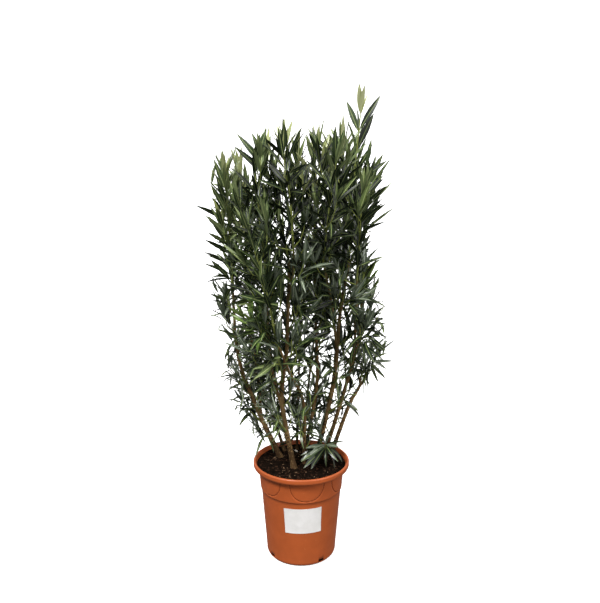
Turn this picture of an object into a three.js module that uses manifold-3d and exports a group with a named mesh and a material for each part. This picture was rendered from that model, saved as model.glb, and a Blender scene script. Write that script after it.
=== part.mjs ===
// Potted oleander: a many-stemmed shrub in a round plastic pot.
// Millimetres, +Z up, +X to the right and -Y to the front. The origin is the centre of the pot's
// flat underside. The canes rise from the soil, the boughs fork from canes, and each mass of
// leaves is one solid that grows on from the tip or the side of a limb.

import * as THREE from 'three';
import { mergeVertices } from 'three/addons/utils/BufferGeometryUtils.js';
import Module from 'manifold-3d';

const wasm = await Module();
wasm.setup();

// ---------- Driving dimensions ----------

const GAP = 0.3; // between pieces that touch

const POT = {
  sides: 48,
  height: 375,
  footRadius: 113, // the flat underside
  baseRound: 18, // radius of the rounded bottom edge
  grooveHeight: 269, // lower edge of the raised band under the rim
  grooveRadius: 150,
  bandStep: [3.5, 3], // how far the band stands proud of the wall, and over what height
  neckHeight: 352, // where the wall meets the rim
  neckRadius: 160,
  rimRadius: 180,
  rimUnderside: 355,
  rimRound: 5, // radius of the rim's upper edge
  lip: [2, 4], // width and height of the bevel under the rim
  mouthRadius: 170,
  mouthBevel: [2, 3], // width and height of the bevel at the mouth
  ledge: [3, 1], // how far the ledge inside the mouth stays off it, and rises
  wall: 2.8,
  floor: 4,
  slots: { count: 4, firstAngle: 35, width: 24, height: 15, bottom: 4 },
};

const SOIL = { sides: 24, top: 360, edge: 3.2 }; // edge: how far its surface stays off the mouth

const LABEL = {
  width: 139,
  height: 103,
  thickness: 0.8,
  bottom: 145,
  turn: 2.6, // degrees to the right of the front
  clearance: 0.6,
  strips: 8,
};

const LIMB = {
  sides: 7,
  rings: 8,
  flareHeight: 30,
  flare: 0.35, // how much wider the foot is at the soil
  trim: [100, 40], // width and depth of the block that cuts the foot flat
  stops: 24, // straight pieces that distances are measured to
};

const LEAF = {
  length: 136,
  width: 29,
  thickness: 3.2,
  root: 0.06, // size of the root's section, as a share of the widest section
  widest: 0.45, // place of the widest part, as a share of the length
  droop: 10, // degrees that the outer part bends down
  folds: [1, 0.72, 0.5], // shares of its spread that a leaf tries until it has room
  foldedSize: 0.7, // size of a leaf that is folded right up
  joinReach: 9, // leaves may meet each other only this near their roots
  leastSpread: 22, // degrees between a leaf and its stem, at least
};

// Rings of leaves along a stem.
const WHORL = {
  leaves: 3,
  firstTurn: 90, // square to a face of the three-sided stem
  turnStep: 60,
  turnJitter: 24,
  spreadJitter: 12,
  spreadCurve: 1.4, // how late along the stem the leaves close up
  lengths: [0.88, 1.12], // least and greatest length, as shares
  shrinkFrom: 0.55, // leaves get shorter from here to the tip
  tipSize: 0.72,
  first: 0.08, // place of the lowest ring on a stem at the tip of a limb
  firstOnSide: 0.45, // and on a stem that leaves the side of a limb
  last: 0.97,
};

const TWIG = {
  radius: 3.4,
  overLimb: 1.15, // the three-sided stem starts this much wider than its limb
  onSide: 0.55, // width of a stem on the side of a limb, as a share of the limb's
  rings: 6,
  shortRings: 3,
  longFrom: 6, // stems with this many whorls have more rings, and side twigs
  stops: 12, // straight pieces that distances are measured to
};

const SIDE_TWIG = {
  count: 2,
  rings: 2,
  first: 0.2, // place of the lowest one along its stem
  step: 0.28,
  placeJitter: 0.1,
  reach: [95, 125],
  rise: [0.4, 0.55], // of its two halves along the stem, as shares of its reach
  out: [0.3, 0.12], // and away from the stem
  leaves: { whorls: 1, first: 0.94, last: 0.94, tipSize: 0.8, spread: [50, 34] },
  clearAt: [0.5, 0.8, 1],
};

const TOP_LEAF = 0.66; // length of the upright leaf at a stem's tip, as a share

const SPACE = { limb: 2.2, mass: 2.2, soil: 5, pot: 4 }; // least distances that leaves keep

const TIDY = { limb: 0.01, mass: 0.1 }; // how far tidying may move a face

const SEED = { first: 101, step: 7 };

// Limbs that rise from the soil: foot on the soil, then bends up to the tip.
const CANES = [
  {
    name: 'cane_left_outer',
    foot: [-82, 55],
    bends: [[-164, 45, 552], [-232, 30, 769], [-247, 15, 1040]],
    radii: [11, 4.5],
  },
  {
    name: 'cane_left_rear',
    foot: [-66, 112],
    bends: [[-136, 160, 558], [-190, 190, 700], [-188, 212, 1056]],
    radii: [7, 4],
  },
  {
    name: 'cane_front_thick',
    foot: [-28, -40],
    bends: [[-70, -45, 626], [-51, -50, 835], [-43, -50, 1134]],
    radii: [11, 5],
  },
  {
    name: 'cane_front_thin',
    foot: [10, -6],
    bends: [[9, -40, 605], [-37, -90, 736], [-87, -135, 877]],
    radii: [6.5, 4],
  },
  {
    name: 'cane_centre',
    foot: [14, 91],
    bends: [[59, 88, 636], [54, 82, 893], [53, 75, 1113]],
    radii: [8, 4.5],
  },
  {
    name: 'cane_right_thick',
    foot: [65, 91],
    bends: [[124, 85, 657], [143, 70, 915], [173, 60, 1116]],
    radii: [10.5, 5],
  },
  {
    name: 'cane_right_rear',
    foot: [92, 84],
    bends: [[168, 105, 614], [222, 125, 843], [228, 130, 1055]],
    radii: [9, 4.5],
  },
  {
    name: 'cane_right_outer',
    foot: [118, 86],
    bends: [[181, 98, 542], [218, 96, 619], [243, 92, 662]],
    radii: [9, 5],
  },
  {
    name: 'cane_rear_left',
    foot: [-17, 119],
    bends: [[-13, 145, 553], [-5, 165, 791], [-9, 180, 986]],
    radii: [5.5, 4],
  },
  {
    name: 'cane_rear_right',
    foot: [0, 141],
    bends: [[22, 162, 547], [49, 180, 786], [83, 195, 1002]],
    radii: [5.5, 4],
  },
  {
    name: 'cane_foot_shoot',
    foot: [83, 33],
    bends: [[85, 20, 378], [88, 8, 396], [90, -2, 412]],
    radii: [4.5, 3.5],
  },
];

// Limbs that fork from another limb at a height, then bend up to their own tip.
const BOUGHS = [
  {
    name: 'bough_left_inner',
    on: 'cane_left_outer',
    height: 520,
    bends: [[-165, 80, 680], [-188, 95, 900], [-200, 102, 1106]],
    radii: [6.5, 4],
  },
  {
    name: 'bough_front_left',
    on: 'cane_front_thick',
    height: 590,
    bends: [[-100, -62, 715], [-116, -88, 880], [-120, -110, 1099]],
    radii: [7, 4],
  },
  {
    name: 'bough_front_middle',
    on: 'cane_front_thick',
    height: 985,
    bends: [[-33, -72, 1070], [-26, -100, 1150], [-28, -130, 1222]],
    radii: [5, 4],
  },
  {
    name: 'bough_front_right',
    on: 'cane_right_thick',
    height: 770,
    bends: [[122, 30, 880], [104, -30, 1000], [74, -95, 1142]],
    radii: [6, 4],
  },
  {
    name: 'bough_right_front',
    on: 'cane_right_rear',
    height: 650,
    bends: [[196, 70, 770], [198, 10, 920], [194, -50, 1070]],
    radii: [6, 4],
  },
];

// Masses of leaves that grow on from the tip of a limb. `bends` are the two points that the stem
// goes through after the limb, `whorls` is how many rings of leaves the stem carries, and `spread`
// the angle in degrees between stem and leaf at its two ends.
const TIP_MASSES = [
  {
    name: 'leaves_left_outer',
    on: 'cane_left_outer',
    bends: [[-256, 22, 1240], [-266, 30, 1410]],
    whorls: 7,
    spread: [48, 25],
  },
  {
    name: 'leaves_left_inner',
    on: 'bough_left_inner',
    bends: [[-210, 120, 1270], [-222, 132, 1420]],
    whorls: 6,
    spread: [58, 26],
  },
  {
    name: 'leaves_left_rear',
    on: 'cane_left_rear',
    bends: [[-198, 226, 1210], [-208, 236, 1360]],
    whorls: 6,
    spread: [56, 26],
  },
  {
    name: 'leaves_front_left',
    on: 'bough_front_left',
    bends: [[-138, -125, 1290], [-153, -136, 1470]],
    whorls: 7,
    spread: [60, 26],
  },
  {
    name: 'leaves_middle_left',
    on: 'cane_front_thick',
    bends: [[-78, -42, 1310], [-122, -34, 1476]],
    whorls: 6,
    spread: [62, 26],
  },
  {
    name: 'leaves_front_middle',
    on: 'bough_front_middle',
    bends: [[-38, -155, 1370], [-58, -175, 1512]],
    whorls: 6,
    spread: [62, 26],
  },
  {
    name: 'leaves_rear_middle',
    on: 'cane_rear_left',
    bends: [[-20, 195, 1230], [-14, 210, 1462]],
    whorls: 8,
    spread: [60, 26],
  },
  {
    name: 'leaves_centre',
    on: 'cane_centre',
    bends: [[46, 80, 1310], [50, 92, 1484]],
    whorls: 6,
    spread: [62, 26],
  },
  {
    name: 'leaves_front_right',
    on: 'bough_front_right',
    bends: [[90, -135, 1310], [112, -170, 1480]],
    whorls: 6,
    spread: [62, 26],
  },
  {
    name: 'leaves_tall_shoot',
    on: 'cane_right_thick',
    bends: [[183, 52, 1370], [206, 60, 1638]],
    whorls: 9,
    spread: [58, 24],
  },
  {
    name: 'leaves_rear_right',
    on: 'cane_rear_right',
    bends: [[128, 218, 1260], [162, 230, 1508]],
    whorls: 8,
    spread: [58, 26],
  },
  {
    name: 'leaves_right_rear',
    on: 'cane_right_rear',
    bends: [[236, 142, 1240], [244, 150, 1398]],
    whorls: 6,
    spread: [44, 24],
  },
  {
    name: 'leaves_right_outer',
    on: 'cane_right_outer',
    bends: [[257, 88, 712], [264, 84, 762]],
    whorls: 4,
    spread: [60, 30],
  },
  {
    name: 'leaves_low_front',
    on: 'cane_front_thin',
    bends: [[-118, -168, 1060], [-172, -200, 1265]],
    whorls: 8,
    spread: [64, 26],
  },
  {
    name: 'leaves_right_front',
    on: 'bough_right_front',
    bends: [[198, -88, 1235], [202, -112, 1376]],
    whorls: 6,
    spread: [52, 26],
  },
  {
    name: 'leaves_foot_shoot',
    on: 'cane_foot_shoot',
    bends: [[91, -10, 426], [92, -16, 440]],
    whorls: 3,
    spread: [100, 60],
  },
];

// Masses that leave the side of a limb, at a height.
const SIDE_MASSES = [
  {
    name: 'side_low_left',
    on: 'cane_left_outer',
    height: 490,
    bends: [[-192, 44, 548], [-216, 36, 584]],
    whorls: 3,
    spread: [66, 36],
  },
  {
    name: 'side_left',
    on: 'cane_left_outer',
    height: 640,
    bends: [[-212, 10, 682], [-224, -5, 716]],
    whorls: 3,
    spread: [70, 44],
  },
  {
    name: 'side_left_drooping',
    on: 'cane_left_outer',
    height: 790,
    bends: [[-244, 26, 806], [-250, 24, 822]],
    whorls: 2,
    spread: [106, 84],
  },
  {
    name: 'side_left_high',
    on: 'cane_left_outer',
    height: 915,
    bends: [[-256, 4, 950], [-264, -12, 996]],
    whorls: 3,
    spread: [58, 34],
  },
  {
    name: 'side_left_inner',
    on: 'bough_left_inner',
    height: 760,
    bends: [[-160, 58, 812], [-146, 36, 872]],
    whorls: 3,
    spread: [70, 40],
  },
  {
    name: 'side_front',
    on: 'cane_front_thick',
    height: 690,
    bends: [[-70, -90, 750], [-82, -132, 812]],
    whorls: 3,
    spread: [72, 42],
  },
  {
    name: 'side_front_high',
    on: 'cane_front_thick',
    height: 880,
    bends: [[-20, -100, 950], [4, -146, 1022]],
    whorls: 4,
    spread: [70, 34],
  },
  {
    name: 'side_front_low',
    on: 'cane_front_thin',
    height: 560,
    bends: [[34, -70, 610], [52, -100, 664]],
    whorls: 3,
    spread: [74, 44],
  },
  {
    name: 'side_front_left',
    on: 'bough_front_left',
    height: 840,
    bends: [[-138, -116, 890], [-162, -142, 940]],
    whorls: 3,
    spread: [66, 38],
  },
  {
    name: 'side_low_front',
    on: 'cane_front_thick',
    height: 500,
    bends: [[-74, -82, 548], [-88, -114, 596]],
    whorls: 3,
    spread: [72, 46],
  },
  {
    name: 'side_centre',
    on: 'cane_centre',
    height: 660,
    bends: [[24, 50, 730], [6, 20, 800]],
    whorls: 3,
    spread: [72, 36],
  },
  {
    name: 'side_centre_high',
    on: 'cane_centre',
    height: 850,
    bends: [[76, 44, 910], [94, 10, 968]],
    whorls: 3,
    spread: [70, 38],
  },
  {
    name: 'side_middle_right',
    on: 'cane_right_thick',
    height: 640,
    bends: [[132, 20, 690], [136, -30, 752]],
    whorls: 3,
    spread: [74, 42],
  },
  {
    name: 'side_right_inner',
    on: 'cane_right_thick',
    height: 860,
    bends: [[122, 104, 918], [104, 136, 978]],
    whorls: 3,
    spread: [70, 38],
  },
  {
    name: 'side_front_right',
    on: 'bough_front_right',
    height: 915,
    bends: [[134, -36, 965], [150, -76, 1025]],
    whorls: 3,
    spread: [66, 36],
  },
  {
    name: 'side_right_front',
    on: 'bough_right_front',
    height: 800,
    bends: [[214, -20, 850], [226, -56, 910]],
    whorls: 3,
    spread: [66, 38],
  },
  {
    name: 'side_right',
    on: 'cane_right_rear',
    height: 820,
    bends: [[238, 128, 858], [250, 132, 884]],
    whorls: 3,
    spread: [54, 36],
  },
  {
    name: 'side_right_high',
    on: 'cane_right_rear',
    height: 915,
    bends: [[240, 118, 975], [248, 108, 1044]],
    whorls: 3,
    spread: [50, 28],
  },
  {
    name: 'side_right_rear',
    on: 'cane_right_rear',
    height: 630,
    bends: [[170, 155, 690], [164, 196, 758]],
    whorls: 3,
    spread: [72, 42],
  },
  {
    name: 'side_low_right',
    on: 'cane_right_thick',
    height: 520,
    bends: [[140, 50, 570], [160, 24, 616]],
    whorls: 3,
    spread: [72, 46],
  },
  {
    name: 'side_rear_left',
    on: 'cane_left_rear',
    height: 620,
    bends: [[-190, 226, 690], [-200, 250, 758]],
    whorls: 3,
    spread: [70, 42],
  },
  {
    name: 'side_rear_left_high',
    on: 'cane_left_rear',
    height: 860,
    bends: [[-164, 246, 930], [-142, 268, 1010]],
    whorls: 3,
    spread: [68, 36],
  },
  {
    name: 'side_rear',
    on: 'cane_rear_left',
    height: 620,
    bends: [[-50, 190, 690], [-72, 222, 764]],
    whorls: 3,
    spread: [72, 38],
  },
  {
    name: 'side_rear_right',
    on: 'cane_rear_right',
    height: 660,
    bends: [[62, 218, 720], [80, 250, 790]],
    whorls: 3,
    spread: [72, 38],
  },
  {
    name: 'side_rear_high',
    on: 'cane_rear_right',
    height: 870,
    bends: [[44, 238, 935], [30, 268, 1010]],
    whorls: 3,
    spread: [70, 36],
  },
];

// ---------- Colours ----------

const FINISH = {
  plastic: { color: 0xa9562a, roughness: 0.5, metalness: 0 },
  soil: { color: 0x241b14, roughness: 1, metalness: 0 },
  paper: { color: 0xe8e6e1, roughness: 0.8, metalness: 0 },
  bark: { color: 0x66503a, roughness: 0.85, metalness: 0 },
  leaf: { color: 0x42552e, roughness: 0.55, metalness: 0 },
};

const model = new THREE.Group();

function addPiece(name, geometry, finish) {
  const mesh = new THREE.Mesh(geometry, new THREE.MeshStandardMaterial(FINISH[finish]));
  mesh.name = name;
  model.add(mesh);
}

// ---------- Joining and cutting ----------

function solidOf(geometry) {
  const bare = geometry.clone();
  for (const attribute of ['normal', 'uv', 'uv1']) bare.deleteAttribute(attribute);
  const merged = mergeVertices(bare, 1e-4);
  const index = merged.index.array;
  const corners = [];
  for (let i = 0; i < index.length; i += 3) {
    const [a, b, c] = [index[i], index[i + 1], index[i + 2]];
    if (a !== b && b !== c && c !== a) corners.push(a, b, c);
  }
  return new wasm.Manifold(new wasm.Mesh({
    numProp: 3,
    vertProperties: new Float32Array(merged.attributes.position.array),
    triVerts: new Uint32Array(corners),
  }));
}

function geometryOf(solid) {
  const mesh = solid.getMesh();
  const geometry = new THREE.BufferGeometry();
  geometry.setAttribute('position', new THREE.BufferAttribute(new Float32Array(mesh.vertProperties), 3));
  geometry.setIndex(new THREE.BufferAttribute(new Uint32Array(mesh.triVerts), 1));
  geometry.computeVertexNormals();
  return geometry;
}

// The largest shell of a solid: loose scraps go, and a sealed hollow is filled.
function largestShell(solid) {
  const shells = solid.decompose();
  return shells.reduce((best, shell) => (shell.volume() > best.volume() ? shell : best));
}

// Faces in one plane are merged, and slivers that joining leaves are collapsed.
function tidied(solid, tolerance) {
  return largestShell(solid.asOriginal().simplify(tolerance));
}

// ---------- Paths, frames and tapering sweeps ----------

const degrees = THREE.MathUtils.degToRad;
const point = (xyz) => new THREE.Vector3(...xyz);
const curveThrough = (points) => new THREE.CatmullRomCurve3(points, false, 'catmullrom', 0.5);

// Two directions across a path, from its direction and a fixed axis that isn't along it.
function across(direction) {
  const reference = Math.abs(direction.x) < 0.8 ? new THREE.Vector3(1, 0, 0) : new THREE.Vector3(0, 1, 0);
  const second = new THREE.Vector3().crossVectors(direction, reference).normalize();
  const first = new THREE.Vector3().crossVectors(second, direction).normalize();
  return { first, second };
}

// A cylinder of unit size, bent along a curve with a radius that changes on the way.
function sweep(curve, radiusAt, sides, rings) {
  const geometry = new THREE.CylinderGeometry(1, 1, 1, sides, rings);
  const place = geometry.attributes.position;
  for (let i = 0; i < place.count; i += 1) {
    const t = THREE.MathUtils.clamp(place.getY(i) + 0.5, 0, 1);
    const { first, second } = across(curve.getTangent(t));
    const radius = radiusAt(t);
    const spot = curve.getPoint(t);
    spot.addScaledVector(first, place.getX(i) * radius);
    spot.addScaledVector(second, -place.getZ(i) * radius);
    place.setXYZ(i, spot.x, spot.y, spot.z);
  }
  return solidOf(geometry);
}

function distanceToSegment(spot, start, end) {
  const along = new THREE.Vector3().subVectors(end, start);
  const offset = new THREE.Vector3().subVectors(spot, start);
  const t = THREE.MathUtils.clamp(offset.dot(along) / along.lengthSq(), 0, 1);
  return { distance: spot.distanceTo(along.multiplyScalar(t).add(start)), t };
}

// Distance from a place to a polyline, and how far along the polyline the nearest place lies.
function nearest(spot, line) {
  let best = { distance: Infinity, share: 0 };
  for (let i = 0; i + 1 < line.length; i += 1) {
    const { distance, t } = distanceToSegment(spot, line[i], line[i + 1]);
    if (distance < best.distance) best = { distance, share: (i + t) / (line.length - 1) };
  }
  return best;
}

// ---------- Seeded choice ----------

function chooser(seed) {
  let state = seed >>> 0;
  return () => {
    state = (state + 0x6d2b79f5) >>> 0;
    let mixed = Math.imul(state ^ (state >>> 15), state | 1);
    mixed ^= mixed + Math.imul(mixed ^ (mixed >>> 7), mixed | 61);
    return ((mixed ^ (mixed >>> 14)) >>> 0) / 4294967296;
  };
}

// ---------- Pot, soil and label ----------

function arc(centre, radius, from, to, steps) {
  const points = [];
  for (let i = 0; i <= steps; i += 1) {
    const angle = degrees(from + ((to - from) * i) / steps);
    const spot = new THREE.Vector2(Math.cos(angle), Math.sin(angle));
    points.push(spot.multiplyScalar(radius).add(new THREE.Vector2(...centre)));
  }
  return points;
}

function lathe(points, sides) {
  const turned = new THREE.LatheGeometry(points, sides);
  turned.rotateX(Math.PI / 2); // the lathe turns round Y, and the pot stands on Z
  return turned;
}

const ring = (radius, height) => new THREE.Vector2(radius, height);
const bottomRadius = POT.footRadius + POT.baseRound;

// The wall's inner face, from the floor's centre up to the mouth, moved inwards by `inset`.
function innerProfile(inset) {
  const innerRound = POT.baseRound - POT.wall - inset;
  const low = POT.floor + inset;
  const [ledgeInset, ledgeRise] = POT.ledge;
  const ledgeHeight = POT.rimUnderside + POT.wall + inset;
  return [
    ring(0, low),
    ...arc([POT.footRadius, low + innerRound], innerRound, -90, 0, 3),
    ring(POT.grooveRadius - POT.wall - inset, POT.grooveHeight),
    ring(POT.neckRadius - POT.wall - inset, POT.neckHeight),
    ring(POT.neckRadius - inset, ledgeHeight),
    ring(POT.mouthRadius - ledgeInset - inset, ledgeHeight + ledgeRise),
  ];
}

function buildPot() {
  const { bandStep, lip, mouthBevel } = POT;
  const outside = [
    ring(0, 0),
    ...arc([POT.footRadius, POT.baseRound], POT.baseRound, -90, 0, 4),
    ring(POT.grooveRadius, POT.grooveHeight),
    ring(POT.grooveRadius + bandStep[0], POT.grooveHeight + bandStep[1]),
    ring(POT.neckRadius, POT.neckHeight),
    ring(POT.rimRadius - lip[0], POT.rimUnderside),
    ring(POT.rimRadius, POT.rimUnderside + lip[1]),
    ...arc([POT.rimRadius - POT.rimRound, POT.height - POT.rimRound], POT.rimRound, 0, 90, 2),
    ring(POT.mouthRadius + mouthBevel[0], POT.height),
    ring(POT.mouthRadius, POT.height - mouthBevel[1]),
  ];
  let pot = solidOf(lathe([...outside, ...innerProfile(0).reverse()], POT.sides));
  const { count, firstAngle, width, height, bottom } = POT.slots;
  for (let i = 0; i < count; i += 1) {
    const slot = new THREE.BoxGeometry(width, 2 * POT.baseRound, height);
    slot.translate(0, -bottomRadius, bottom + height / 2);
    slot.rotateZ(degrees(firstAngle + (360 / count) * i));
    pot = pot.subtract(solidOf(slot));
  }
  addPiece('pot', geometryOf(tidied(pot, TIDY.limb)), 'plastic');
}

function buildSoil() {
  const surface = [ring(POT.mouthRadius - SOIL.edge, SOIL.top), ring(0, SOIL.top)];
  const soil = solidOf(lathe([...innerProfile(GAP), ...surface], SOIL.sides));
  addPiece('soil', geometryOf(soil), 'soil');
}

// Radius of the plain wall below the groove, at a height.
function wallRadius(z) {
  const share = (z - POT.baseRound) / (POT.grooveHeight - POT.baseRound);
  return THREE.MathUtils.lerp(bottomRadius, POT.grooveRadius, share);
}

// A sheet wrapped on the front of the wall.
function buildLabel() {
  const sheet = new THREE.BoxGeometry(LABEL.width, LABEL.thickness, LABEL.height, LABEL.strips, 1, 1);
  const place = sheet.attributes.position;
  const middle = wallRadius(LABEL.bottom + LABEL.height / 2);
  for (let i = 0; i < place.count; i += 1) {
    const z = place.getZ(i) + LABEL.height / 2 + LABEL.bottom;
    const radius = wallRadius(z) + LABEL.clearance + LABEL.thickness / 2 - place.getY(i);
    const angle = place.getX(i) / middle + degrees(LABEL.turn);
    place.setXYZ(i, radius * Math.sin(angle), -radius * Math.cos(angle), z);
  }
  addPiece('label', geometryOf(solidOf(sheet)), 'paper');
}

// ---------- Limbs ----------

const limbs = new Map();
const HALVINGS = 40; // of the stretch that a height is looked for in

// Place along a limb, from 0 at its start to 1 at its tip, where it reaches a height.
function shareAtHeight(curve, height) {
  let [low, high] = [0, 1];
  for (let i = 0; i < HALVINGS; i += 1) {
    const middle = (low + high) / 2;
    if (curve.getPoint(middle).z < height) low = middle;
    else high = middle;
  }
  return (low + high) / 2;
}

function limbFrom({ name, bends, radii }, start, flare) {
  const curve = curveThrough([start, ...bends.map(point)]);
  const reach = curve.getLength();
  const radiusAt = (t) => {
    const foot = flare * Math.max(0, 1 - (t * reach) / LIMB.flareHeight);
    return THREE.MathUtils.lerp(radii[0], radii[1], t) * (1 + foot * foot);
  };
  const line = curve.getPoints(LIMB.stops);
  limbs.set(name, { name, curve, radiusAt, line });
  return limbs.get(name);
}

// The limb's solid, with its radius made larger by `extra`.
function solidLimb(limb, extra) {
  return sweep(limb.curve, (t) => limb.radiusAt(t) + extra, LIMB.sides, LIMB.rings);
}

function buildLimbs() {
  for (const cane of CANES) {
    const limb = limbFrom(cane, point([...cane.foot, SOIL.top + GAP]), Math.sqrt(LIMB.flare));
    // The foot is cut flat on the soil, whatever the lean of the cane.
    const [width, depth] = LIMB.trim;
    const trim = new THREE.BoxGeometry(width, width, depth);
    trim.translate(cane.foot[0], cane.foot[1], SOIL.top + GAP - depth / 2);
    const cut = solidLimb(limb, 0).subtract(solidOf(trim));
    addPiece(cane.name, geometryOf(tidied(cut, TIDY.limb)), 'bark');
  }
  for (const bough of BOUGHS) {
    const parent = limbs.get(bough.on);
    const start = parent.curve.getPoint(shareAtHeight(parent.curve, bough.height));
    const limb = limbFrom(bough, start, 0);
    const cut = solidLimb(limb, 0).subtract(solidLimb(parent, GAP));
    addPiece(bough.name, geometryOf(tidied(cut, TIDY.limb)), 'bark');
  }
}

// ---------- Leaves ----------

// A leaf is a three-sided spindle: flat on top, with a keel below, and bent down past its middle.
function leafPlan(root, direction, up, length) {
  const side = new THREE.Vector3().crossVectors(direction, up).normalize();
  const face = new THREE.Vector3().crossVectors(side, direction).normalize();
  const bent = direction.clone().applyAxisAngle(side, -degrees(LEAF.droop));
  const middle = root.clone().addScaledVector(direction, length * LEAF.widest);
  const tip = middle.clone().addScaledVector(bent, length * (1 - LEAF.widest));
  const halfWidth = (LEAF.width / 2) * (length / LEAF.length);
  return { root, middle, tip, side, face, halfWidth };
}

function solidLeaf({ root, middle, tip, side, face, halfWidth }) {
  const spindle = new THREE.ConeGeometry(1, 1, 3, 2);
  const place = spindle.attributes.position;
  const edge = Math.sin(degrees(120)); // sideways reach of two corners of the unit triangle
  for (let i = 0; i < place.count; i += 1) {
    const station = Math.round((place.getY(i) + 0.5) * 2);
    const centre = [root, middle, tip][station];
    const size = [LEAF.root, 2, 0][station]; // the cone's middle ring has half its size
    const spot = centre.clone().addScaledVector(side, (-place.getX(i) / edge) * halfWidth * size);
    spot.addScaledVector(face, (-place.getZ(i) * LEAF.thickness * size) / 1.5);
    place.setXYZ(i, spot.x, spot.y, spot.z);
  }
  return solidOf(spindle);
}

// Places spread over a leaf, where its distance from other pieces is looked at.
function leafSpots({ root, middle, tip, side, face, halfWidth }) {
  const spots = [];
  for (const share of [0.25, 0.5, 0.75, 1]) {
    const inner = root.clone().lerp(middle, share);
    const outer = middle.clone().lerp(tip, share);
    for (const sideways of [-1, 0, 1]) {
      spots.push(inner.clone().addScaledVector(side, sideways * halfWidth * share));
      spots.push(outer.clone().addScaledVector(side, sideways * halfWidth * (1 - share)));
    }
    spots.push(inner.clone().addScaledVector(face, -LEAF.thickness * share));
  }
  return spots;
}

// ---------- Masses of leaves ----------

// A mass with its stem in place. A stem at a limb's tip starts the gap beyond it, and a stem on a
// limb's side starts at the limb's centre line and is cut clear of the limb later.
function massPlan(spec) {
  const limb = limbs.get(spec.on);
  const atTip = spec.height === undefined;
  const share = atTip ? 1 : shareAtHeight(limb.curve, spec.height);
  const start = limb.curve.getPoint(share);
  if (atTip) start.addScaledVector(limb.curve.getTangent(1), GAP);
  const curve = curveThrough([start, ...spec.bends.map(point)]);
  const radius = limb.radiusAt(share) * (atTip ? 1 : TWIG.onSide);
  return { ...spec, limb, atTip, curve, radius, line: curve.getPoints(TWIG.stops) };
}

// Whether a place lies in the mass's own space: nearer to its stem than to any other mass's stem,
// clear of every limb, of the soil and of the pot.
function isFree(spot, mass, masses) {
  if (spot.z < SOIL.top + SPACE.soil) return false;
  const fromAxis = Math.hypot(spot.x, spot.y);
  if (spot.z < POT.height + SPACE.pot && fromAxis > POT.mouthRadius - SPACE.pot) return false;
  for (const limb of limbs.values()) {
    const { distance, share } = nearest(spot, limb.line);
    if (distance < limb.radiusAt(share) + SPACE.limb) return false;
  }
  const own = nearest(spot, mass.line).distance;
  return masses.every((other) => other === mass || nearest(spot, other.line).distance > own + SPACE.mass);
}

const leafIsFree = (leaf, mass, masses) => leafSpots(leaf).every((spot) => isFree(spot, mass, masses));

// Whether a leaf runs through one that is there already, other than where both leave the stem.
function crosses(leaf, others) {
  return others.some((other) => {
    const meet = leaf.solid.intersect(other.solid);
    if (meet.isEmpty()) return false;
    const { min, max } = meet.boundingBox();
    const middle = point(min).add(point(max)).multiplyScalar(0.5);
    return middle.distanceTo(leaf.root) > LEAF.joinReach;
  });
}

// Keeps the first fold of a leaf, from wide to close to the stem, that has room.
function addLeaf(leaves, mass, masses, { root, up, outward, spread, length }) {
  for (const fold of LEAF.folds) {
    const tilt = degrees(Math.max(spread * fold, LEAF.leastSpread));
    const direction = up.clone().multiplyScalar(Math.cos(tilt)).addScaledVector(outward, Math.sin(tilt));
    const size = THREE.MathUtils.lerp(LEAF.foldedSize, 1, fold);
    const leaf = leafPlan(root, direction, up, length * size);
    if (leafIsFree(leaf, mass, masses)) {
      leaf.solid = solidLeaf(leaf);
      if (!crosses(leaf, leaves)) {
        leaves.push(leaf);
        return;
      }
    }
  }
}

// A direction away from a stem, at an angle in degrees round it.
function away(up, angle) {
  const { first, second } = across(up);
  return first.multiplyScalar(Math.cos(degrees(angle))).addScaledVector(second, Math.sin(degrees(angle)));
}

// Leaves in rings along a stem, each ring turned against the one below.
function addWhorls(leaves, mass, masses, stem, rule, choose) {
  const { lerp } = THREE.MathUtils;
  const jitter = (range) => (choose() - 0.5) * range;
  for (let i = 0; i < rule.whorls; i += 1) {
    const along = lerp(rule.first, rule.last, i / Math.max(1, rule.whorls - 1));
    const root = stem.getPoint(along);
    const up = stem.getTangent(along);
    const young = Math.max(0, along - WHORL.shrinkFrom) / (1 - WHORL.shrinkFrom);
    const size = LEAF.length * lerp(1, rule.tipSize, young);
    for (let k = 0; k < WHORL.leaves; k += 1) {
      const turn = WHORL.firstTurn + WHORL.turnStep * i + (360 / WHORL.leaves) * k;
      const outward = away(up, turn + jitter(WHORL.turnJitter));
      const spread = lerp(rule.spread[0], rule.spread[1], along ** WHORL.spreadCurve);
      const tilted = spread + jitter(WHORL.spreadJitter);
      const length = size * lerp(WHORL.lengths[0], WHORL.lengths[1], choose());
      addLeaf(leaves, mass, masses, { root, up, outward, spread: tilted, length });
    }
  }
}

// Short side twigs on a long stem, each with its own ring of leaves.
function addSideTwigs(twigs, leaves, mass, masses, choose) {
  const [lowRise, highRise] = SIDE_TWIG.rise;
  const [lowOut, highOut] = SIDE_TWIG.out;
  for (let i = 0; i < SIDE_TWIG.count; i += 1) {
    const along = SIDE_TWIG.first + SIDE_TWIG.step * i + SIDE_TWIG.placeJitter * choose();
    const root = mass.curve.getPoint(along);
    const up = mass.curve.getTangent(along);
    const outward = away(up, 360 * choose());
    const reach = THREE.MathUtils.lerp(SIDE_TWIG.reach[0], SIDE_TWIG.reach[1], choose());
    const grown = (from, rise, out) => {
      return from.clone().addScaledVector(up, reach * rise).addScaledVector(outward, reach * out);
    };
    const middle = grown(root, lowRise, lowOut);
    const tip = grown(middle, highRise, highOut);
    const twig = curveThrough([root, middle, tip]);
    if (SIDE_TWIG.clearAt.every((t) => isFree(twig.getPoint(t), mass, masses))) {
      twigs.push(sweep(twig, () => TWIG.radius, 3, SIDE_TWIG.rings));
      addWhorls(leaves, mass, masses, twig, SIDE_TWIG.leaves, choose);
    }
  }
}

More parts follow.
